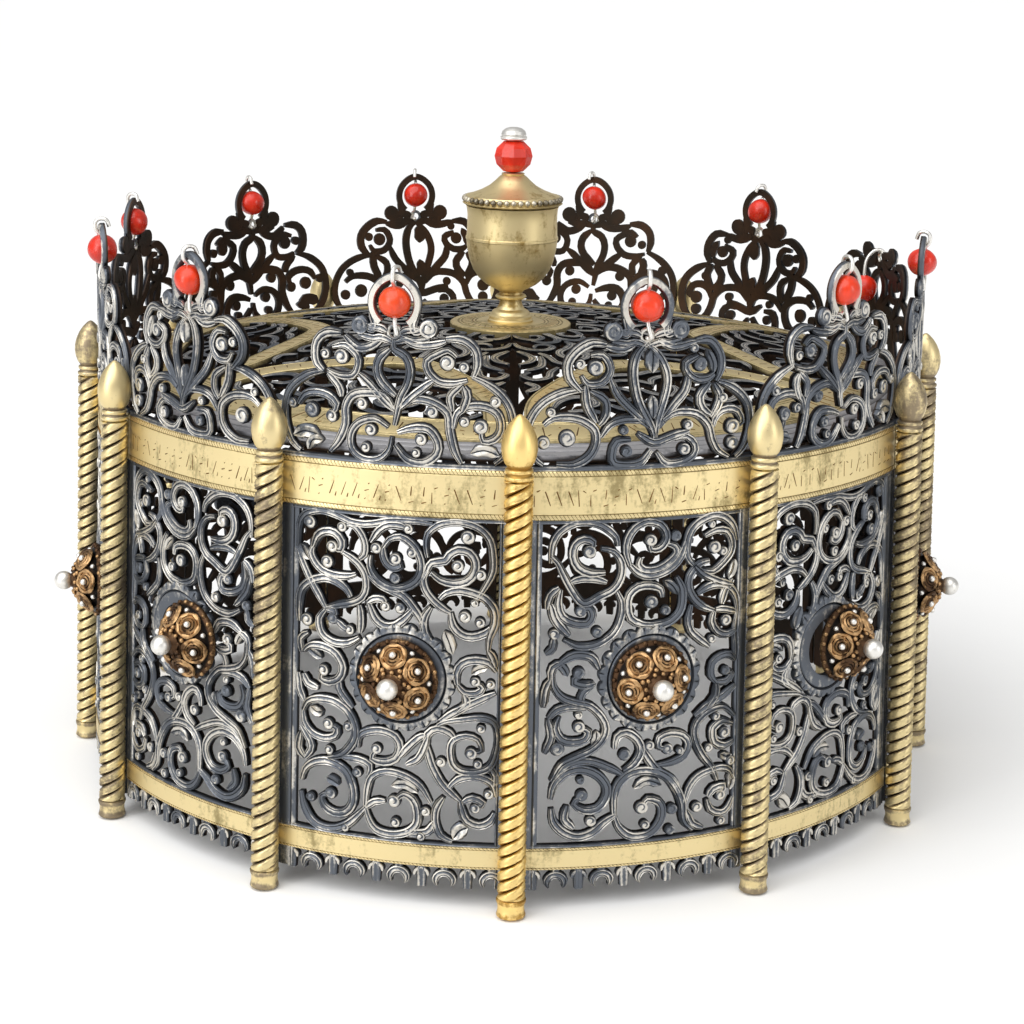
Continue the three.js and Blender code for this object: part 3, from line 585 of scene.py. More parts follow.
def wire(shape, points, radius, sides=8):
    """Round wire along a smooth line in space."""
    line = curve(points, 0.35)
    along = np.gradient(line, axis=0)
    along /= np.linalg.norm(along, axis=1)[:, None]
    up = np.array([0.0, 0.0, 1.0])
    frames, last = [], None
    for d in along:
        s = np.cross(d, up) if last is None else last - d * np.dot(last, d)
        if np.linalg.norm(s) < 1e-6:
            s = np.cross(d, np.array([1.0, 0.0, 0.0]))
        last = s / np.linalg.norm(s)
        frames.append((last, np.cross(d, last)))
    a = np.arange(sides) * 2 * math.pi / sides
    rows = [p + radius * (np.cos(a)[:, None] * s + np.sin(a)[:, None] * t)
            for p, (s, t) in zip(line, frames)]
    shape.grid(np.array(rows))


def numbers(text):
    return [float(x) for x in text.split()]


def pairs(values):
    return np.asarray(values, float).reshape(-1, 2)


def scrollwork(shape, lines, width, relief, seed):
    """Draws strokes, eyes and leaves. Crossing strokes lie at slightly different heights."""
    wobble = np.random.default_rng(seed)
    for i, line in enumerate(lines.strip().splitlines()):
        top = relief * (1 + 0.05 * ((i * 3) % 7 - 3))
        if line[0] == "*":
            values = numbers(line[1:])
            ribbon(shape, curve(pairs(values[1:]), 0.7), values[0], top * 0.95, BACK, LEAF,
                   ends=0.12)
            continue
        stroke, _, eyes = line.partition("@")
        eyes = np.asarray(numbers(eyes)).reshape(-1, 3)
        if stroke.strip():
            points = pairs(numbers(stroke))
            if len(eyes):
                x, y, r = eyes[0]
                toward = points[-1] - (x, y)
                toward = toward / (np.linalg.norm(toward) + 1e-9)
                points = np.vstack([points, (x, y) + toward * r * 0.5])
            broad = width * wobble.uniform(0.9, 1.1)
            ribbon(shape, curve(points, 1.45), broad, top, BACK)
        for x, y, r in eyes:
            eye(shape, x, y, r * 1.08, top * 1.15, BACK, start=wobble.uniform(0, 6))


def tick(shape, a, b, width, top, root):
    """One short shallow cut or ridge between two points on a face."""
    a, b = np.asarray(a, float), np.asarray(b, float)
    along = (b - a) / np.linalg.norm(b - a)
    side = np.array([along[1], -along[0]]) * width / 2
    flat = np.array([a - side, a + side, b + side * 0.6, b - side * 0.6])
    crown = np.array([a + along * width * 0.3, b - along * width * 0.3])
    points = np.vstack([np.c_[flat, np.full(4, root)], np.c_[crown, np.full(2, top)]])
    shape.add(points, [(0, 3, 2, 1), (0, 4, 5, 3), (1, 2, 5, 4)], [(0, 1, 4), (2, 3, 5)], 0.0)

# ---- Finishes --------------------------------------------------------------------------------


def group(name, inputs, outputs):
    """A node group with named inputs and outputs, built once."""
    if name in bpy.data.node_groups:
        return bpy.data.node_groups[name], True
    made = bpy.data.node_groups.new(name, "ShaderNodeTree")
    for title, kind, default in inputs:
        socket = made.interface.new_socket(title, in_out="INPUT", socket_type=kind)
        socket.default_value = default
    for title, kind in outputs:
        made.interface.new_socket(title, in_out="OUTPUT", socket_type=kind)
    return made, False


class Tree:
    """Short ways to add and join the nodes of a material or a group."""

    def __init__(self, tree):
        self.nodes, self.links = tree.nodes, tree.links

    def node(self, kind, values=None, **settings):
        made = self.nodes.new(kind)
        for key, value in settings.items():
            setattr(made, key, value)
        for key, value in (values or {}).items():
            if isinstance(value, bpy.types.NodeSocket):
                self.links.new(value, made.inputs[key])
            else:
                made.inputs[key].default_value = value
        return made

    def math(self, operation, a, b=0.0, c=None):
        values = {0: a, 1: b}
        if c is not None:
            values[2] = c
        return self.node("ShaderNodeMath", values, operation=operation).outputs[0]

    def spread(self, value, low, high, to_low=0.0, to_high=1.0):
        return self.node("ShaderNodeMapRange", {
            "Value": value, "From Min": low, "From Max": high, "To Min": to_low,
            "To Max": to_high}, interpolation_type="SMOOTHSTEP").outputs[0]

    def mix(self, factor, a, b):
        return self.node("ShaderNodeMix", {0: factor, 6: a, 7: b}, data_type="RGBA").outputs[2]

    def noise(self, scale, detail=3.0, rough=0.55, stretch=(1, 1, 1)):
        place = self.node("ShaderNodeTexCoord").outputs["Object"]
        moved = self.node("ShaderNodeMapping", {"Vector": place, "Scale": stretch}).outputs[0]
        return self.node("ShaderNodeTexNoise", {
            "Vector": moved, "Scale": scale, "Detail": detail, "Roughness": rough}
        ).outputs["Fac"]


# Colour of the inside faces, which are never polished.
INSIDE = (0.045, 0.035, 0.028)


def oxide_group():
    """Worn metal: bright on the ridges, oxidised between them, black in the cuts. On the columns
    the bright ridges and dark grooves are painted highlight and painted shade.
    """
    made, ready = group("Worn relief and painted light", (
        ("Bright", "NodeSocketColor", (0.8, 0.8, 0.8, 1)),
        ("Middle", "NodeSocketColor", (0.2, 0.2, 0.2, 1)),
        ("Deep", "NodeSocketColor", (0.02, 0.02, 0.02, 1)),
        ("Inner", "NodeSocketColor", (0.05, 0.04, 0.03, 1)),
        ("Patches", "NodeSocketFloat", 0.5),
        ("Patch scale", "NodeSocketFloat", 60.0)), (
        ("Color", "NodeSocketColor"), ("Roughness", "NodeSocketFloat"),
        ("Height", "NodeSocketFloat")))
    if ready:
        return made
    t = Tree(made)
    given = t.node("NodeGroupInput").outputs
    wear = t.node("ShaderNodeAttribute", attribute_name="wear").outputs["Fac"]
    inner = t.node("ShaderNodeAttribute", attribute_name="inner").outputs["Fac"]
    broad = t.noise(1.0)
    t.links.new(given["Patch scale"], broad.node.inputs["Scale"])
    fine = t.noise(1400.0, 4.0, 0.65)
    streak = t.noise(420.0, 3.0, 0.6, (1, 1, 0.35))
    patch = t.spread(broad, 0.46, 0.62)
    loss = t.math("MULTIPLY", patch, given["Patches"])
    worn = t.math("ADD", wear, t.math("MULTIPLY_ADD", streak, 1.3, -0.65))
    worn = t.math("ADD", worn, t.math("MULTIPLY_ADD", fine, 0.8, -0.4))
    worn = t.math("SUBTRACT", worn, loss)
    bright = t.spread(worn, 0.34, 0.86)
    open_cut = t.spread(t.math("ADD", wear, t.math("MULTIPLY", fine, 0.14)), 0.1, 0.3)
    colour = t.mix(bright, given["Middle"], given["Bright"])
    colour = t.mix(open_cut, given["Deep"], colour)
    tint = t.mix(t.spread(t.noise(90.0), 0.4, 0.7, 0.0, 0.5), given["Inner"],
                 (0.11, 0.055, 0.03, 1))
    colour = t.mix(t.spread(inner, 0.35, 0.85), colour, tint)
    rough = t.math("MULTIPLY_ADD", bright, -0.08, 0.46)
    rough = t.math("ADD", rough, t.math("MULTIPLY", fine, 0.12))
    height = t.math("ADD", t.math("MULTIPLY", fine, 0.5), t.math("MULTIPLY", streak, 0.5))
    out = t.node("NodeGroupOutput")
    for title, value in (("Color", colour), ("Roughness", rough), ("Height", height)):
        t.links.new(value, out.inputs[title])
    return made


def new_material(name):
    """An empty material, with the short ways to add its nodes."""
    made = bpy.data.materials.new(name)
    made.use_nodes = True
    made.node_tree.nodes.clear()
    return made, Tree(made.node_tree)


def finish_of(name, bright, middle, deep, patches, scale=60.0, bump=0.25):
    """A metal finish that uses the worn relief group, made once for each name."""
    if name in bpy.data.materials:
        return bpy.data.materials[name]
    made, t = new_material(name)
    relief = t.node("ShaderNodeGroup", node_tree=oxide_group())
    for title, value in (("Bright", bright), ("Middle", middle), ("Deep", deep),
                         ("Inner", INSIDE)):
        relief.inputs[title].default_value = (*value[:3], 1)
    relief.inputs["Patches"].default_value = patches
    relief.inputs["Patch scale"].default_value = scale
    lumps = t.node("ShaderNodeBump", {
        "Strength": bump, "Distance": 0.0001, "Height": relief.outputs["Height"]})
    body = t.node("ShaderNodeBsdfPrincipled", {
        "Base Color": relief.outputs["Color"], "Roughness": relief.outputs["Roughness"],
        "Metallic": 1.0, "Normal": lumps.outputs[0]})
    out = t.node("ShaderNodeOutputMaterial")
    t.links.new(body.outputs[0], out.inputs[0])
    return made


def coral_of(name, colour, dark):
    """Polished coral: deep colour with faint growth lines and a soft gloss."""
    if name in bpy.data.materials:
        return bpy.data.materials[name]
    made, t = new_material(name)
    lines = t.noise(500.0, 3.0, 0.6, (1, 1, 0.25))
    cloud = t.noise(180.0, 2.0)
    shade = t.mix(t.spread(t.math("ADD", lines, cloud), 0.75, 1.25), (*dark[:3], 1),
                  (*colour[:3], 1))
    lumps = t.node("ShaderNodeBump", {"Strength": 0.12, "Distance": 0.0001, "Height": lines})
    body = t.node("ShaderNodeBsdfPrincipled", {
        "Base Color": shade, "Roughness": t.spread(cloud, 0.3, 0.7, 0.22, 0.36),
        "Subsurface Weight": 0.15, "Subsurface Radius": (0.0012, 0.0003, 0.0002),
        "Subsurface Scale": 1.0, "Coat Weight": 0.15, "Coat Roughness": 0.2,
        "Normal": lumps.outputs[0]})
    out = t.node("ShaderNodeOutputMaterial")
    t.links.new(body.outputs[0], out.inputs[0])
    return made


def looks():
    return bpy.context.scene.crown_colours


def silver():
    c = looks()
    return finish_of("oxidised silver", c.silver, c.oxide, c.recess, patches=0.55, scale=75.0)


def plain_silver():
    return finish_of("bright silver", (0.84, 0.82, 0.78), (0.5, 0.49, 0.47),
                     (0.1, 0.09, 0.08), patches=0.15, bump=0.1)


def dull_silver():
    return finish_of("dull silver", (0.6, 0.59, 0.6), (0.36, 0.36, 0.38), (0.03, 0.03, 0.03),
                     patches=0.4, scale=60.0, bump=0.15)


def gilt():
    c = looks()
    return finish_of("pale gilding", c.gilt, (0.36, 0.29, 0.14), (0.16, 0.08, 0.02),
                     patches=0.3, scale=45.0, bump=0.15)


def column_gilt(worn):
    c = looks()
    # Both column finishes show the twist's painted highlight and shade through the wear attribute.
    if worn:
        return finish_of("rubbed gilding with painted light", c.gilt, (0.3, 0.24, 0.16), (0.03, 0.022, 0.014),
                         patches=0.45, scale=40.0, bump=0.15)
    return finish_of("deep gilding", c.deep_gilt, (0.45, 0.27, 0.07), (0.1, 0.05, 0.012),
                     patches=0.2, scale=40.0, bump=0.15)


def filigree():
    return finish_of("dark filigree", (0.5, 0.31, 0.15), (0.085, 0.047, 0.026),
                     (0.012, 0.01, 0.009), patches=0.55, scale=170.0)

# ---- Sizes and colours -----------------------------------------------------------------------


def length(title, about, value):
    return FloatProperty(name=title, description=about, default=value, min=0.0,
                         subtype="DISTANCE", unit="LENGTH", precision=4)


def colour(title, about, value):
    return FloatVectorProperty(name=title, description=about, default=value, size=3,
                               min=0.0, max=1.0, subtype="COLOR")


class CrownSizes(bpy.types.PropertyGroup):
    """Sizes of the crown's finer work. The main sizes come from the frame."""

    stroke: length("Stroke", "Width of the scrollwork's strokes", 0.0021)
    relief: length("Relief", "Height of the strokes above the middle of the sheet", 0.00085)
    band: length("Band relief", "Height of the gilt bands above the middle of the sheet", 0.0009)
    twist: length("Twist", "Height of one full turn of a column's twist", 0.0079)
    ridge: length("Ridge", "Depth of the grooves in a column", 0.00075)
    bead: length("Bead", "Diameter of a coral bead", 0.0068)
    wire: length("Wire", "Diameter of the silver wires", 0.0009)
    dome_stroke: length("Dome stroke", "Width of the dome's strokes", 0.0019)


class CrownColours(bpy.types.PropertyGroup):
    """Colours of the crown's finishes."""

    silver: colour("Silver", "Worn ridges of the silver", (0.66, 0.63, 0.57))
    oxide: colour("Oxide", "Oxidised silver between the ridges", (0.13, 0.143, 0.165))
    recess: colour("Recess", "Cuts and hollows of the silver", (0.012, 0.011, 0.012))
    gilt: colour("Gilt", "Pale gilding on the bands, dome and far columns", (0.8, 0.66, 0.36))
    deep_gilt: colour("Deep gilt", "Full gilding on the front column", (0.95, 0.7, 0.28))
    coral: colour("Coral", "Coral beads", (0.8, 0.045, 0.008))
    floor: colour("Floor", "The pale floor", (0.93, 0.93, 0.925))


def sizes():
    return bpy.context.scene.crown_sizes


def mm(value):
    return value / MM


# ---- Panels ----------------------------------------------------------------------------------


def panel_angle(number):
    return (number - 0.5) * SECTOR


def ring_work(shape, relief, broken):
    """The ring at the top of a crest with its two volutes, or the stubs of a lost ring."""
    root = -0.5
    for s in (-1, 1):
        eye(shape, s * 7.3, 121.9, 2.1, relief * 1.2, root, turns=2.1, start=1.5 + s)
        ribbon(shape, curve(pairs((s * 7.6, 119.9, s * 4.6, 119.4, s * 2.6, 119.6, 0, 118.8)),
                            0.6), 1.9, relief, root)
        if broken:
            continue
        ribbon(shape, curve(pairs((s * 7.0, 122.2, s * 4.6, 121.2, s * 4.2, 122.7, s * 5.0,
                                   124.6)), 0.5), 2.0, relief, root)
    if not broken:
        turn = np.radians(np.linspace(-142, 142, 40))
        high = 1 + 0.08 * np.clip(np.cos(turn), 0, 1) ** 6
        loop = np.stack([4.95 * np.sin(turn), 126.6 + 4.95 * high * np.cos(turn)], 1)
        ribbon(shape, loop, 1.7, relief, root, PLAIN, ends=1.0)
    ribbon(shape, curve(pairs((-5.4, 121.8, -2.8, 121.5, -1.5, 120.9)), 0.5), 2, relief, root)
    ribbon(shape, curve(pairs((5.4, 121.8, 2.8, 121.5, 1.5, 120.9)), 0.5), 2, relief, root)
    ring(shape, (0, 120.8, 0.1), 1.35, 0.42, around=16, wear=0.9)


def rosette_plate(shape, relief):
    """The scalloped plate behind a boss, with a line cut in each scallop."""
    around, scallops = 160, 20
    a = np.arange(around)[None, :] * 2 * math.pi / around
    lobe = np.abs(np.sin(a * scallops / 2)) ** 0.6
    cut = np.clip(1 - np.abs(np.sin(a * scallops / 2 + math.pi / 2)) * 5, 0, 1)
    rows, wear = [], []
    for k, (radius, high, ridge_rub_and_painted_light) in enumerate((
            (6.5, -0.6, 0.1), (6.5, 0.9, 0.2), (9.1, 1.0, 0.45), (9.45, 0.6, 0.0),
            (9.8, 1.05, 0.6), (10.6, 1.0, 0.5), (11.0, 0.85, 0.7), (11.3, 0.3, 0.3),
            (11.3, -0.6, 0.1))):
        r = radius + (lobe - 0.6) * (0.9 if k > 5 else 0)
        dark = cut * (1 if k in (5, 6) else 0)
        rows.append(np.stack(np.broadcast_arrays(
            BOSS_ACROSS + 0.4 + r * np.cos(a), BOSS_UP + r * np.sin(a),
            high * relief / 0.85 - dark * 0.35), -1))
        wear.append(ridge_rub_and_painted_light * (1 - dark) * np.ones_like(a))
    points = np.concatenate(rows)
    shape.grid(points, np.concatenate(wear), round_rows=True)


def fretwork(field, crest, broken, seed):
    """A panel's silver: frame, pierced field, rosette plate, fringe and crest, drawn flat."""
    s = sizes()
    width, relief = mm(s.stroke), mm(s.relief)
    shape = Shape()
    edge = ((-1, 0.6, 0.3), (-0.8, 1, 0.75), (-0.6, 0.75, 0.1), (-0.4, 1, 0.55),
            (0, 0.95, 0.4), (0.35, 1, 0.5), (0.5, 0.75, 0.08), (0.66, 1, 0.8), (1, 0.6, 0.3))
    for x, w in ((-23.6, 4.8), (24.4, 3.2)):
        ribbon(shape, pairs((x, PANEL_FOOT, x, CREST_FOOT)), w, relief * 0.9, BACK, edge,
               ends=1.0)
    for up, w in ((83.1, 0.9), (13.6, 0.8), (94.1, 1.2)):
        line = np.stack([np.linspace(-25.6, 25.6, 44), np.full(44, up)], 1)
        ribbon(shape, line, w, relief * 0.95, BACK, RAIL, ends=1.0)
    scrollwork(shape, field, width, relief, seed=seed)
    scrollwork(shape, crest, width * 0.95, relief, seed=seed + 1)
    ring_work(shape, relief, broken)
    rosette_plate(shape, relief)
    for x in np.arange(-22.0, 24, 4.92):
        if round((x + 22) / 4.92) % 2:
            arc = np.radians(np.linspace(-128, 128, 16))
            ribbon(shape, np.stack([x + 1.85 * np.sin(arc), 5.5 + 1.75 * np.cos(arc)], 1), 1.9,
                   relief, BACK, ends=0.2)
            ribbon(shape, pairs((x, 8.9, x, 8.0, x, 7.0)), 1.8, relief * 0.8, BACK, RAIL, ends=0.8)
        else:
            ribbon(shape, pairs((x, 8.9, x, 6.6, x, 4.0)), 2.2, relief * 0.9, BACK, RAIL,
                   ends=0.85)
            for side in (-1, 1):
                ribbon(shape, curve(pairs((x, 8.2, x + side * 1.2, 7.4, x + side * 1.5, 6.4)),
                                    0.5), 0.9, relief * 0.8, BACK, PLAIN, ends=0.4)
    return shape


def marks(shape, low, high, start, stop, top, place, seed, pitch=2.5):
    """A row of shallow strokes that are no letters."""
    r = np.random.default_rng(seed)
    at, tall = start, high - low
    while at < stop:
        kind = r.integers(0, 6)
        lean = r.uniform(-0.35, 0.35)
        shape_of = {
            0: ((0, 0, lean, 1), (0.7, 0.95, 1.5, 0.8)),
            1: ((0, 0.1, 1.1, 0.95), (1.3, 0, 1.6, 0.3)),
            2: ((0.1, 0, 0.1, 0.7), (0.5, 0.9, 1.4, 1.0)),
            3: ((0, 0.95, 1.2, 0.05),),
            4: ((0, 0, 1.2, 0.1), (0.5, 0.4, 0.7, 1)),
            5: ((0.1, 0.5, 1.2, 0.6), (0.1, 0, 0.5, 0.1), (0.9, 0.9, 1.3, 1)),
        }[int(kind)]
        for x0, z0, x1, z1 in shape_of:
            a, b = place(at + x0, low + z0 * tall), place(at + x1, low + z1 * tall)
            tick(shape, a, b, r.uniform(0.4, 0.6), top + 0.05, top - 0.1)
        at += pitch * r.uniform(0.85, 1.1)


def bands(seed):
    """A panel's gilt bands, drawn flat: an upper one with its row of strokes and a lower one."""
    relief = mm(sizes().band)
    shape = Shape()
    n = 40
    rim = ((-1, 0.7, 0.6), (-0.93, 1, 1), (-0.8, 0.98, 0.9), (-0.77, 0.85, 0.1),
           (-0.74, 0.98, 0.9), (0.74, 0.98, 0.95), (0.77, 0.85, 0.1), (0.8, 0.98, 0.9),
           (0.93, 1, 1), (1, 0.7, 0.6))
    for (low, high), ends in ((UPPER_BAND, 26.0), (LOWER_BAND, 25.6)):
        line = np.stack([np.linspace(-ends, ends, n), np.full(n, (low + high) / 2)], 1)
        ribbon(shape, line, high - low, relief, BACK, rim, ends=1.0)
        inset = (high - low) * 0.11
        for k, x in enumerate(np.arange(-ends + 0.8, ends - 0.8, 0.82)):
            for z0, z1 in ((low + 0.15, low + inset), (high - inset, high - 0.15)):
                tick(shape, (x, z1), (x + 0.7, z0), 0.26, relief + 0.04, relief - 0.1)
    marks(shape, 86.3, 89.8, -23.2, 22.6, relief, lambda x, z: (x, z), seed)
    return shape


class CROWN_OT_panels(bpy.types.Operator):
    """Make the twelve pierced panels with their crests and gilt bands"""

    bl_idname = "crown.panels"
    bl_label = "Panels"

    def execute(self, context):
        drawn = {}
        for number in range(1, COUNT + 1):
            right = number % 2 == 1
            flip = number in MIRRORED
            broken = number == BROKEN_RING
            key = (right, broken)
            if key not in drawn:
                drawn[key] = fretwork(FIELD_RIGHT if right else FIELD_LEFT,
                                      CREST_RIGHT if right else CREST_LEFT, broken, 3)
            angle = panel_angle(number)
            fret, band = Shape(), Shape()
            fret.copy_from(drawn[key], lambda p: bent(p, angle, flip), flip)
            band.copy_from(bands(number), lambda p: bent(p, angle))
            node = f"panel_{number:02d}"
            piece(f"{node}_fretwork", fret, silver(), "silver", node, 40)
            piece(f"{node}_bands", band, gilt(), "gilt", node, 35)
        return {"FINISHED"}


# ---- Columns ---------------------------------------------------------------------------------


class CROWN_OT_columns(bpy.types.Operator):
    """Make the twelve twisted gilt columns with their feet and buds"""

    bl_idname = "crown.columns"
    bl_label = "Columns"

    def execute(self, context):
        s = sizes()
        lead, depth = mm(s.twist), mm(s.ridge)
        per_ridge = 10
        around = per_ridge * 3
        k = np.arange(around)
        part = (k % per_ridge) / per_ridge
        # Across one of the three ridges: a narrow groove, a rounded band and a thin raised edge.
        # The colour paints a highlight on the band and edge, and shade darkening into the groove.
        places = (0, 0.1, 0.2, 0.45, 0.7, 0.8, 0.9, 1)
        swell = np.interp(part, places, (0, 0.55, 0.85, 1, 0.92, 1.02, 0.5, 0))
        # Painted highlight and painted shade across each ridge, passed on as the wear attribute.
        ridge_rub_and_painted_light = np.interp(part, places, (0, 0.35, 0.8, 1, 0.8, 1, 0.3, 0))
        plain = [(0.02, 0.05), (2.9, 0.05), (3.1, 0.3), (2.95, 0.9), (2.8, 1.6), (2.85, 2.6),
                 (3.1, 3.2), (3.15, 3.7), (2.7, 4.0)]
        bud = [(2.6, 92.7), (2.95, 93.0), (2.95, 93.5), (2.5, 93.8), (2.45, 94.1), (2.8, 94.4),
               (2.8, 94.9), (2.35, 95.2), (2.5, 95.5), (3.0, 96.2), (3.45, 97.4), (3.7, 98.9),
               (3.65, 100.3), (3.3, 101.8), (2.65, 103.3), (1.85, 104.5), (1.0, 105.4),
               (0.45, 105.85), (0.02, 106.0)]
        rows, wear = [], []
        ones = np.ones(around)
        for r, z in plain:
            rows.append((r * ones, z, 0.0))
            wear.append((0.9 if 1 < z < 3 else 0.5) * ones)
        for z in np.arange(4.2, 92.5, 0.7):
            fade = min(1, (z - 4.0) / 1.2, (92.8 - z) / 1.2)
            rows.append((3.0 - depth * fade * (1 - swell), z, z / lead * 2 * math.pi))
            # The twist's painted highlight on the ridges and painted shade in the grooves, faded
            # out near both ends.
            wear.append(1 - fade * (1 - ridge_rub_and_painted_light))
        for r, z in bud:
            rows.append((r * ones, z, 0.0))
            wear.append((0.25 if r < 2.56 and z < 96 else 1.0) * ones)
        wear = np.array(wear)
        for number in range(1, COUNT + 1):
            shape = Shape()
            points = []
            for r, z, turn in rows:
                a = k * 2 * math.pi / around + turn + number
                y = -(COLUMN_CIRCLE - TAPER * z)
                points.append(np.stack([r * np.sin(a), y - r * np.cos(a), z * ones], 1))
            shape.grid(turned(np.array(points).reshape(-1, 3), (number - 1) * SECTOR).reshape(
                len(rows), around, 3), wear)
            node = f"column_{number:02d}"
            piece(f"{node}_twist", shape, column_gilt(number != 1), "gilt", node, 60)
        return {"FINISHED"}


# ---- Bosses ----------------------------------------------------------------------------------


def boss_work():
    """A boss in its own space, across, up and outward: the filigree and its bright grains."""
    dark, bright = Shape(), Shape()
    lathe(dark, ((0, 0), (8.2, 0), (8.5, 0.5), (8.3, 1.1), (7.4, 1.5), (6.9, 2.4), (5.4, 3.8),
                 (4.0, 5.0), (3.2, 5.4), (0, 5.5)), 40,
          wear=(0, .1, .5, .4, 0, .1, .1, .1, .2, .2))
    for k in range(24):
        a = k * math.pi / 12
        ball(dark, (8.15 * math.cos(a), 8.15 * math.sin(a), 1.0), 0.6, 8, 5, wear=0.6)
    for k in range(6):
        a = (k + 0.5) * math.pi / 3
        c, s = math.cos(a), math.sin(a)
        axis = Vector((c * 0.62, s * 0.62, 0.78))
        middle = np.array((5.7 * c, 5.7 * s, 3.9))
        normal = np.array(axis.normalized())
        ring(dark, middle, 2.5, 0.42, axis, 20, 5, rope=0.25, wear=0.95)
        ring(dark, middle + normal * 0.15, 1.75, 0.3, axis, 14, 4, rope=0.2, wear=0.8)
        ring(dark, middle + normal * 0.35, 1.1, 0.28, axis, 12, 4, wear=0.6)
        ball(dark, middle - normal * 0.5, 2.4, 14, 6, 0.35, wear=0.05, axis=axis)
        ball(bright, middle + normal * 0.75, 0.75, 10, 7)
        b = k * math.pi / 3
        for radius, high, size in ((7.0, 2.3, 0.62), (3.7, 5.6, 0.55)):
            ball(bright if radius > 5 else dark, (radius * math.cos(b), radius * math.sin(b),
                                                  high), size, 9, 6)
        for turn in (-0.2, 0.2):
            d, e = math.cos(b + turn), math.sin(b + turn)
            ring(dark, (5.2 * d, 5.2 * e, 4.6), 0.7, 0.22, (d * 0.6, e * 0.6, 0.8), 10, 5,
                 wear=0.7)
    for k in range(10):
        a = k * math.pi / 5
        ball(dark, (2.95 * math.cos(a), 2.95 * math.sin(a), 6.1), 0.5, 8, 6, wear=0.9)
    lathe(dark, ((0, 5.3), (2.4, 5.4), (2.5, 5.9), (1.7, 6.5), (1.5, 7.0), (1.9, 7.2),
                 (0, 7.3)), 24, wear=(0, 0, .6, .3, .1, .8, .5))
    ball(bright, (0, 0, 8.4), 2.2, 20, 14)
    return dark, bright


class CROWN_OT_bosses(bpy.types.Operator):
    """Make the twelve filigree bosses with their silver balls"""

    bl_idname = "crown.bosses"
    bl_label = "Bosses"

    def execute(self, context):
        dark, bright = boss_work()
        out = wall_radius(BOSS_UP) + SHEET / 2 + 0.35
        lean = math.atan(TAPER)
        for number in range(1, COUNT + 1):
            angle = panel_angle(number)

            def place(points, turn=number * 0.7):
                x, y, z = points.T
                c, s = math.cos(turn), math.sin(turn)
                x, y = x * c - y * s, x * s + y * c
                up = y * math.cos(lean) + z * math.sin(lean)
                forth = z * math.cos(lean) - y * math.sin(lean)
                return turned(np.stack([BOSS_ACROSS + x, -out - forth, BOSS_UP + up], 1), angle)

            node = f"boss_{number:02d}"
            for title, part, material, slot in (
                    ("filigree", dark, filigree(), "filigree"),
                    ("grains", bright, plain_silver(), "bright_silver")):
                shape = Shape()
                shape.copy_from(part, place)
                piece(f"{node}_{title}", shape, material, slot, node)
        return {"FINISHED"}


# ---- Coral drops -----------------------------------------------------------------------------


class CROWN_OT_drops(bpy.types.Operator):
    """Make the coral beads that hang in the rings of the crests, with their wires"""

    bl_idname = "crown.drops"
    bl_label = "Coral drops"

    def execute(self, context):
        s = sizes()
        radius, thick = mm(s.bead) / 2, mm(s.wire) / 2
        for number in range(1, COUNT + 1):
            broken = number == BROKEN_RING
            r = np.random.default_rng(number)
            up = RING_UP - (BROKEN_DROP if broken else 0)
            back = BROKEN_BACK if broken else 0.0
            bead, hook = Shape(), Shape()
            squash = r.uniform(0.93, 1.0)
            t = np.linspace(0.12, math.pi - 0.12, 15)
            profile = np.stack([np.sin(t) * radius, -np.cos(t) * radius * squash], 1)
            profile = np.vstack([(0.4, profile[0, 1] + 0.3), profile,
                                 (0.4, profile[-1, 1] - 0.3)])
            dents = r.uniform(0.02, 0.07, 3)
            lathe(bead, profile, 28, ripple=lambda z, a: dents[0] * np.cos(2 * a + number)
                  + dents[1] * np.cos(3 * a + z) + dents[2] * np.sin(5 * a - z * 0.7))
            lean = r.uniform(-0.08, 0.08)
            if broken:
                path = ((0.2, 0.8, -4.8), (0.1, 0.2, -3.4), (0, 0, 0), (0, 0, 4.4),
                        (0.1, 0.6, 7.4), (0.1, 2.4, 9.4), (0.2, 4.4, 9.6), (0.3, 5.7, 8.2),
                        (0.3, 5.6, 5.8))
            else:
                path = ((0.3, -0.2, -6.6), (0.5, 0.7, -6.2), (0.1, 0.5, -4.4), (0, 0, -2.5),
                        (0, 0, 1), (0, 0.4, 3.2), (0, 1.5, 4.6), (0.1, 1.5, 6.2),
                        (0.3, 0.5, 7.0), (0.7, -0.9, 6.7), (0.9, -1.5, 5.2))
            wire(hook, [(x + lean * z, z, y) for x, y, z in path], thick)
            ball(hook, (path[0][0], path[0][2], path[0][1]), thick * 1.25, 8, 6)
            angle = panel_angle(number)

            def place(points, upright):
                """Points across, up and out from the middle of the ring."""
                if upright:
                    x, y, z = points.T
                    points = np.stack([x + lean * z, z, -y], 1)
                x, z, out = points.T
                wall = wall_radius(up + z if not upright else up) + out + back
                return turned(np.stack([x, -wall, up + z], 1), angle)

            node = f"coral_drop_{number:02d}"
            tone = 1.0 if number == 12 else (0.8 if number in (1, 2, 11) else 0.6)
            c = looks().coral
            hue = (c[0] * (0.75 + 0.3 * tone), c[1] * tone**2 * 1.5, c[2] * tone)
            material = coral_of(f"coral {tone:g}", hue, tuple(v * 0.7 for v in hue))
            made, held = Shape(), Shape()
            made.copy_from(bead, lambda p: place(p, True))
            held.copy_from(hook, lambda p: place(p, False))
            piece(f"{node}_bead", made, material, "coral", node, 80)
            piece(f"{node}_wire", held, plain_silver(), "bright_silver", node, 80)
        return {"FINISHED"}


# ---- Dome ------------------------------------------------------------------------------------


def polar(values, turn, flip):
    """Plan points from pairs of radius and degrees from the front."""
    p = pairs(values)
    a = np.radians(p[:, 1] * flip) + turn
    return np.stack([p[:, 0] * np.sin(a), -p[:, 0] * np.cos(a)], 1)


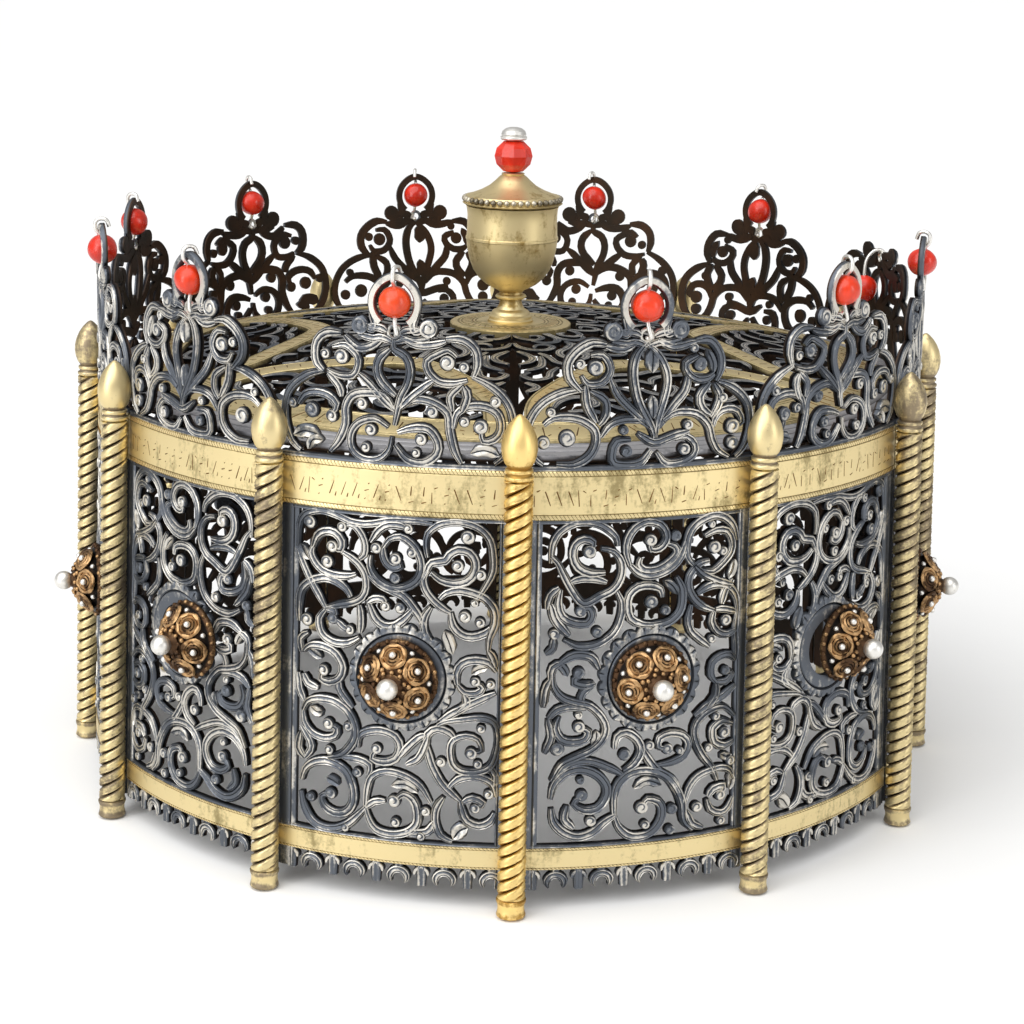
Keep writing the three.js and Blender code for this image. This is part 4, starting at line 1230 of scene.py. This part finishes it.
# A sixth of the dome, from the foot of one arch at 0 degrees to its top at 30, as radius and
# angle. The other half is its mirror.
ARCH_SECTION = ((-1, 0.6, 0.7), (-0.9, 1, 1), (-0.8, 0.6, 0.1), (-0.7, 1, 1), (0.7, 1, 0.95),
                (0.8, 0.6, 0.1), (0.9, 1, 1), (1, 0.6, 0.7))
ARCH = (79.5, 3.0, 72, 3.6, 66, 5.2, 60, 8.8, 54, 14, 49.5, 20, 46.8, 26, 46, 30)
DOME_STROKES = """
16 2 18.6 4 21 9 21.6 16 19.6 21 17.4 20 17.4 14
16 28 19 30 22 29 24.6 24 24.6 17 22.6 12
25 1 28.4 3 31 8 31.4 14 29 18.6 26.6 17 26.8 12 28.6 10
25 30 28 28.6 30.6 24 33 19 36 17.4 39 19 40 23 38 26 35.6 25 35.4 21.6
32.6 30 35 28.6 38.6 29 42.4 30
32.4 2 35 5 38 6.6 41 5 43 1.6
34 10 37.6 12.6 41.6 13.4 44.4 17
37 9.6 41 9 45 7.4 48 3
45.6 12.4 49 9.4 52.6 8 54 4.4 51 2 49 4
56 2.4 59 4.6 62 2.2
62 12 60 17.6 62 22.6 66 23.6 68.6 20.6 67.6 17 64.6 16.4
71.4 6.4 67.6 8 65.4 11.4 67 14.4 70.4 14 71.6 11.4
58 19 56.6 23.6 57.6 28 60.4 30
53.4 22 53 26 54 30
73.6 8.6 73.4 12.4 76 14.4 78 12.4
70.6 16.4 73.4 18.4 74.4 22 72 24.4 69.6 23.4
62.6 26 65.6 27 68.4 30
70 27.6 73.6 27.6 77.6 30
76.4 17.4 78.4 21 77 24.6 74.8 26.6
60 13.4 57.4 16.6 57.4 20
75.4 5.6 78 8 78.6 11
"""


def dome_parts():
    width = mm(sizes().dome_stroke)
    work, gold, steps = Shape(), Shape(), Shape()
    for k in range(6):
        turn = k * math.pi / 3
        for flip in (1, -1):
            for i, line in enumerate(DOME_STROKES.strip().splitlines()):
                path = curve(polar(numbers(line), turn, flip), 1.1)
                ribbon(work, path, width * (1 if i % 2 else 0.9), 0.12 + 0.02 * (i % 4), -1.1)
            arch = curve(polar(ARCH, turn, flip), 1.6)
            ribbon(gold, arch, 5.6, 0.34, DOME_BACK, ARCH_SECTION, ends=1.0)
            r = np.random.default_rng(k * 2 + (flip > 0))
            along = np.gradient(arch, axis=0)
            along /= np.linalg.norm(along, axis=1)[:, None]
            for j in range(3, len(arch) - 1, 2):
                across = np.array([along[j][1], -along[j][0]])
                lean = along[j] * r.uniform(-0.6, 0.6)
                a, b = r.uniform(-1.7, -0.6), r.uniform(0.5, 1.7)
                tick(gold, arch[j] + across * a, arch[j] + across * b + lean, 0.4, 0.4, 0.3)
    # Gilt boss plate under the urn, with circles cut in it.
    profile, wear = [(0, DOME_BACK), (0, 0.5)], [0.1, 1]
    for radius in (5.2, 8.4, 9.2, 11.8, 12.6):
        profile += [(radius - 0.3, 0.5), (radius, 0.32), (radius + 0.3, 0.5)]
        wear += [1, 0.05, 1]
    profile += [(PLATE_EDGE - 0.4, 0.5), (PLATE_EDGE, 0.2), (PLATE_EDGE, DOME_BACK)]
    wear += [1, 0.6, 0.1]
    lathe(gold, profile, 72, wear=wear)
    for k in range(36):
        a = k * math.pi / 18
        p = np.array((math.sin(a), -math.cos(a)))
        q = np.array((math.sin(a + 0.12), -math.cos(a + 0.12)))
        tick(gold, p * 9.5, q * 11.5, 0.35, 0.56, 0.45)
    # Gilt rim band with its row of strokes, and the plain steps outside it.
    for low, high, part, lines in ((RIM_INSIDE, RIM_OUTSIDE, gold, (80.2, 81.0, 88.2, 89.0)),
                                   (RIM_OUTSIDE, DOME_EDGE, steps, (91.8, 93.9))):
        section, wear = [(low, DOME_BACK), (low, 0.2)], [0.1, 0.6]
        for radius in lines:
            section += [(radius - 0.25, 0.3), (radius, 0.1), (radius + 0.25, 0.3)]
            wear += [1, 0.05, 0.95]
        section += [(high, 0.25), (high, DOME_BACK)]
        wear += [0.6, 0.1]
        section = np.array(section)
        a = np.arange(144)[None, :] * 2 * math.pi / 144
        points = np.stack(np.broadcast_arrays(section[:, :1] * np.sin(a),
                                              -section[:, :1] * np.cos(a),
                                              section[:, 1:2]), -1)
        inner = np.zeros(points.shape[:2])
        inner[[0, -1]] = 1
        part.grid(points, np.array(wear)[:, None] * np.ones_like(a), inner, round_rows=True)
    middle = (RIM_INSIDE + RIM_OUTSIDE) / 2 - 0.1
    marks(gold, 82.4, 86.9, 0, 2 * math.pi * middle - 2, 0.34,
          lambda x, z: z * np.array((math.sin(x / middle), -math.cos(x / middle))), 5, 3.1)
    return work, gold, steps


class CROWN_OT_dome(bpy.types.Operator):
    """Make the pierced dome with its gilt arches, plate and rim band"""

    bl_idname = "crown.dome"
    bl_label = "Dome"

    def execute(self, context):
        work, gold, steps = dome_parts()
        for title, part, material, slot in (
                ("fretwork", work, silver(), "silver"), ("gilt", gold, gilt(), "gilt"),
                ("steps", steps, dull_silver(), "silver")):
            shape = Shape()
            shape.copy_from(part, on_dome)
            piece(f"dome_{title}", shape, material, slot, "dome", 40)
        return {"FINISHED"}


# ---- Urn -------------------------------------------------------------------------------------


def softened(profile, step=1.4):
    """A profile with points added so that none are much further apart than a step."""
    p = np.asarray(profile, float)
    rows = [p[:1]]
    for a, b in zip(p, p[1:]):
        n = max(1, round(np.linalg.norm(b - a) / step))
        rows.append(a + (b - a) * (np.arange(1, n + 1)[:, None] / n))
    return np.vstack(rows)


class CROWN_OT_urn(bpy.types.Operator):
    """Make the urn on the dome, its beaded lid, faceted coral and cap"""

    bl_idname = "crown.urn"
    bl_label = "Urn"

    def execute(self, context):
        gold = finish_of("urn gilding", looks().gilt, (0.4, 0.27, 0.09), (0.06, 0.035, 0.015),
                         patches=0.3, scale=120.0, bump=0.12)
        body = Shape()
        outline = [(0, 107.3), (5.4, 107.3), (5.5, 107.9), (5.2, 108.2), (5.2, 108.8),
                   (4.7, 109.2), (4.5, 109.8), (4.2, 110.1), (3.4, 110.5), (2.9, 111.4),
                   (2.6, 112.4), (2.7, 112.9), (3.5, 113.1), (3.8, 113.5), (3.5, 113.9),
                   (2.9, 114.1), (2.8, 114.6), (3.3, 115.1), (4.4, 115.6), (6.2, 116.6),
                   (7.9, 118.1), (9.2, 120.0), (10.1, 122.3), (10.7, 125.0), (10.95, 127.2),
                   (11.1, 127.4), (11.1, 127.9), (10.9, 128.1), (10.8, 130.5), (10.75, 133.0),
                   (10.9, 134.6), (11.1, 135.3), (10.6, 135.4), (9.7, 135.3), (9.5, 133),
                   (9.3, 127), (7.6, 121), (4, 118), (0, 117.4)]
        profile = softened(outline)
        lathe(body, profile, 64, wear=np.where(profile[:, 0] < 2.95, 0.5, 1.0))
        piece("urn_bowl", body, gold, "gilt", "urn", 30)

        lid = Shape()
        outline = [(0, 135.7), (11.6, 135.7), (12.0, 136.0), (11.6, 136.3), (11.2, 136.4),
                   (11.4, 137.4), (11.1, 137.8), (10.2, 138.0), (9.4, 138.3), (7.6, 139.0),
                   (5.6, 140.1), (4.2, 141.3), (3.2, 142.3), (2.6, 142.7), (2.8, 142.9),
                   (2.6, 143.1), (0, 143.2)]
        profile = softened(outline)
        lathe(lid, profile, 64, wear=1.0)
        piece("urn_lid_cover", lid, gold, "gilt", "urn_lid", 30)
        pearls = Shape()
        for k in range(44):
            a = k * 2 * math.pi / 44
            ball(pearls, (11.45 * math.sin(a), -11.45 * math.cos(a), 137.0), 0.72, 8, 6,
                 wear=0.75)
        dark_rim = finish_of("beaded rim", (0.66, 0.6, 0.48), (0.2, 0.17, 0.12),
                             (0.02, 0.016, 0.012), patches=0.4, scale=120.0)
        piece("urn_lid_pearls", pearls, dark_rim, "silver", "urn_lid", 80)

        bead = Shape()
        lathe(bead, ((0.6, 143.2), (2.4, 143.5), (4.1, 145.2), (4.6, 147.1), (4.1, 149.0),
                     (2.4, 150.6), (0.6, 150.8)), 9)
        c = looks().coral
        piece("urn_coral_bead", bead, coral_of("finial coral", (c[0], c[1] * 0.6, c[2] * 0.5),
                                               (c[0] * 0.75, c[1] * 0.4, c[2] * 0.4)),
              "coral", "urn_coral", 12)
        cap = Shape()
        profile = softened([(0, 150.9), (2.9, 150.9), (3.2, 151.2), (3.2, 151.6), (2.9, 151.8),
                            (3.0, 152.2), (2.7, 153.0), (1.9, 153.6), (1.0, 153.85), (0, 153.9)])
        lathe(cap, profile, 32)
        piece("urn_cap_silver", cap, plain_silver(), "bright_silver", "urn_cap", 30)
        return {"FINISHED"}


# ---- Stage -----------------------------------------------------------------------------------


def soft_light(name, place, size, power):
    """A rectangle of light that looks at the crown's middle."""
    lamp = bpy.data.lights.new(name, "AREA")
    lamp.shape, lamp.size, lamp.size_y = "RECTANGLE", size[0], size[1]
    lamp.energy = power
    held = bpy.data.objects.new(name, lamp)
    held.location = place
    held.rotation_euler = (Vector((0, 0, 0.06)) - Vector(place)).to_track_quat("-Z", "Y").to_euler()
    bpy.context.scene.collection.objects.link(held)


class CROWN_OT_stage(bpy.types.Operator):
    """Make the pale floor, the soft lights and the camera"""

    bl_idname = "crown.stage"
    bl_label = "Stage"

    def execute(self, context):
        scene = context.scene
        mesh = bpy.data.meshes.new("floor")
        n, half = 24, 9.0
        xs = np.linspace(-half, half, n + 1)
        points = [(x, y, -0.0004) for y in xs for x in xs]
        faces = [(j * (n + 1) + i, j * (n + 1) + i + 1, (j + 1) * (n + 1) + i + 1,
                  (j + 1) * (n + 1) + i) for j in range(n) for i in range(n)]
        mesh.from_pydata(points, [], faces)
        floor = bpy.data.objects.new("floor", mesh)
        scene.collection.objects.link(floor)
        paper, t = new_material("pale floor")
        grain = t.noise(30.0, 2.0)
        shade = t.mix(grain, (*looks().floor, 1), (*[min(1, v * 1.02) for v in looks().floor], 1))
        body = t.node("ShaderNodeBsdfPrincipled", {"Base Color": shade, "Roughness": 0.9,
                                                   "Specular IOR Level": 0.1})
        t.links.new(body.outputs[0], t.node("ShaderNodeOutputMaterial").inputs[0])
        mesh.materials.append(paper)

        world = scene.world or bpy.data.worlds.new("studio")
        scene.world = world
        world.use_nodes = True
        world.node_tree.nodes.clear()
        t = Tree(world.node_tree)
        sky = t.node("ShaderNodeBackground", {"Color": (1, 1, 1, 1), "Strength": 0.44})
        t.links.new(sky.outputs[0], t.node("ShaderNodeOutputWorld").inputs[0])
        scene.view_settings.view_transform = "Standard"

        lamp = bpy.data.lights.new("broad light", "SUN")
        lamp.energy, lamp.angle = 2.35, math.radians(70)
        held = bpy.data.objects.new("broad light", lamp)
        held.rotation_euler = Vector((0.35, 0.42, -1)).to_track_quat("-Z", "Y").to_euler()
        scene.collection.objects.link(held)
        soft_light("left", (-1.1, -1.0, 0.5), (0.5, 1.0), 7)
        soft_light("right", (1.2, -0.9, 0.5), (0.4, 0.9), 4)

        height, pitch, yaw, roll, turn = (math.radians(v) for v in (
            CAMERA_HEIGHT, CAMERA_PITCH, CAMERA_YAW, CAMERA_ROLL, CAMERA_TURN))
        lens = bpy.data.cameras.new("camera")
        lens.sensor_width = 36.0
        lens.lens = CAMERA_LENS
        lens.clip_start, lens.clip_end = 0.01, 50.0
        camera = bpy.data.objects.new("camera", lens)
        spin = Matrix.Rotation(-turn, 3, "Z")
        ahead = spin @ Vector((math.sin(yaw) * math.cos(pitch), math.cos(yaw) * math.cos(pitch),
                               -math.sin(pitch)))
        right = ahead.cross(Vector((0, 0, 1))).normalized()
        up = right.cross(ahead)
        right, up = (right * math.cos(roll) + up * math.sin(roll),
                     up * math.cos(roll) - right * math.sin(roll))
        camera.matrix_world = Matrix.Translation(spin @ Vector((
            0, -CAMERA_FAR * math.cos(height), CAMERA_FAR * math.sin(height)))) @ Matrix(
                (right, up, -ahead)).transposed().to_4x4()
        scene.collection.objects.link(camera)
        scene.camera = camera
        return {"FINISHED"}


class CROWN_PT_panel(bpy.types.Panel):
    """Lists the crown's sizes, colours and operators"""

    bl_idname = "CROWN_PT_panel"
    bl_label = "Torah crown"
    bl_space_type = "VIEW_3D"
    bl_region_type = "UI"
    bl_category = "Crown"

    def draw(self, context):
        for settings in (context.scene.crown_sizes, context.scene.crown_colours):
            box = self.layout.box()
            for name in settings.bl_rna.properties.keys():
                if name not in ("name", "rna_type"):
                    box.prop(settings, name)
        for operator in OPERATORS:
            self.layout.operator(operator.bl_idname)


OPERATORS = (CROWN_OT_stage, CROWN_OT_panels, CROWN_OT_columns, CROWN_OT_bosses,
             CROWN_OT_drops, CROWN_OT_dome, CROWN_OT_urn)
CLASSES = (CrownSizes, CrownColours, *OPERATORS, CROWN_PT_panel)


def register():
    for made in CLASSES:
        bpy.utils.register_class(made)
    bpy.types.Scene.crown_sizes = PointerProperty(type=CrownSizes)
    bpy.types.Scene.crown_colours = PointerProperty(type=CrownColours)


def unregister():
    del bpy.types.Scene.crown_colours
    del bpy.types.Scene.crown_sizes
    for made in reversed(CLASSES):
        bpy.utils.unregister_class(made)


def main():
    register()
    bpy.ops.crown.stage()
    bpy.ops.crown.panels()
    bpy.ops.crown.columns()
    bpy.ops.crown.bosses()
    bpy.ops.crown.drops()
    bpy.ops.crown.dome()
    bpy.ops.crown.urn()


if __name__ == "__main__":
    main()
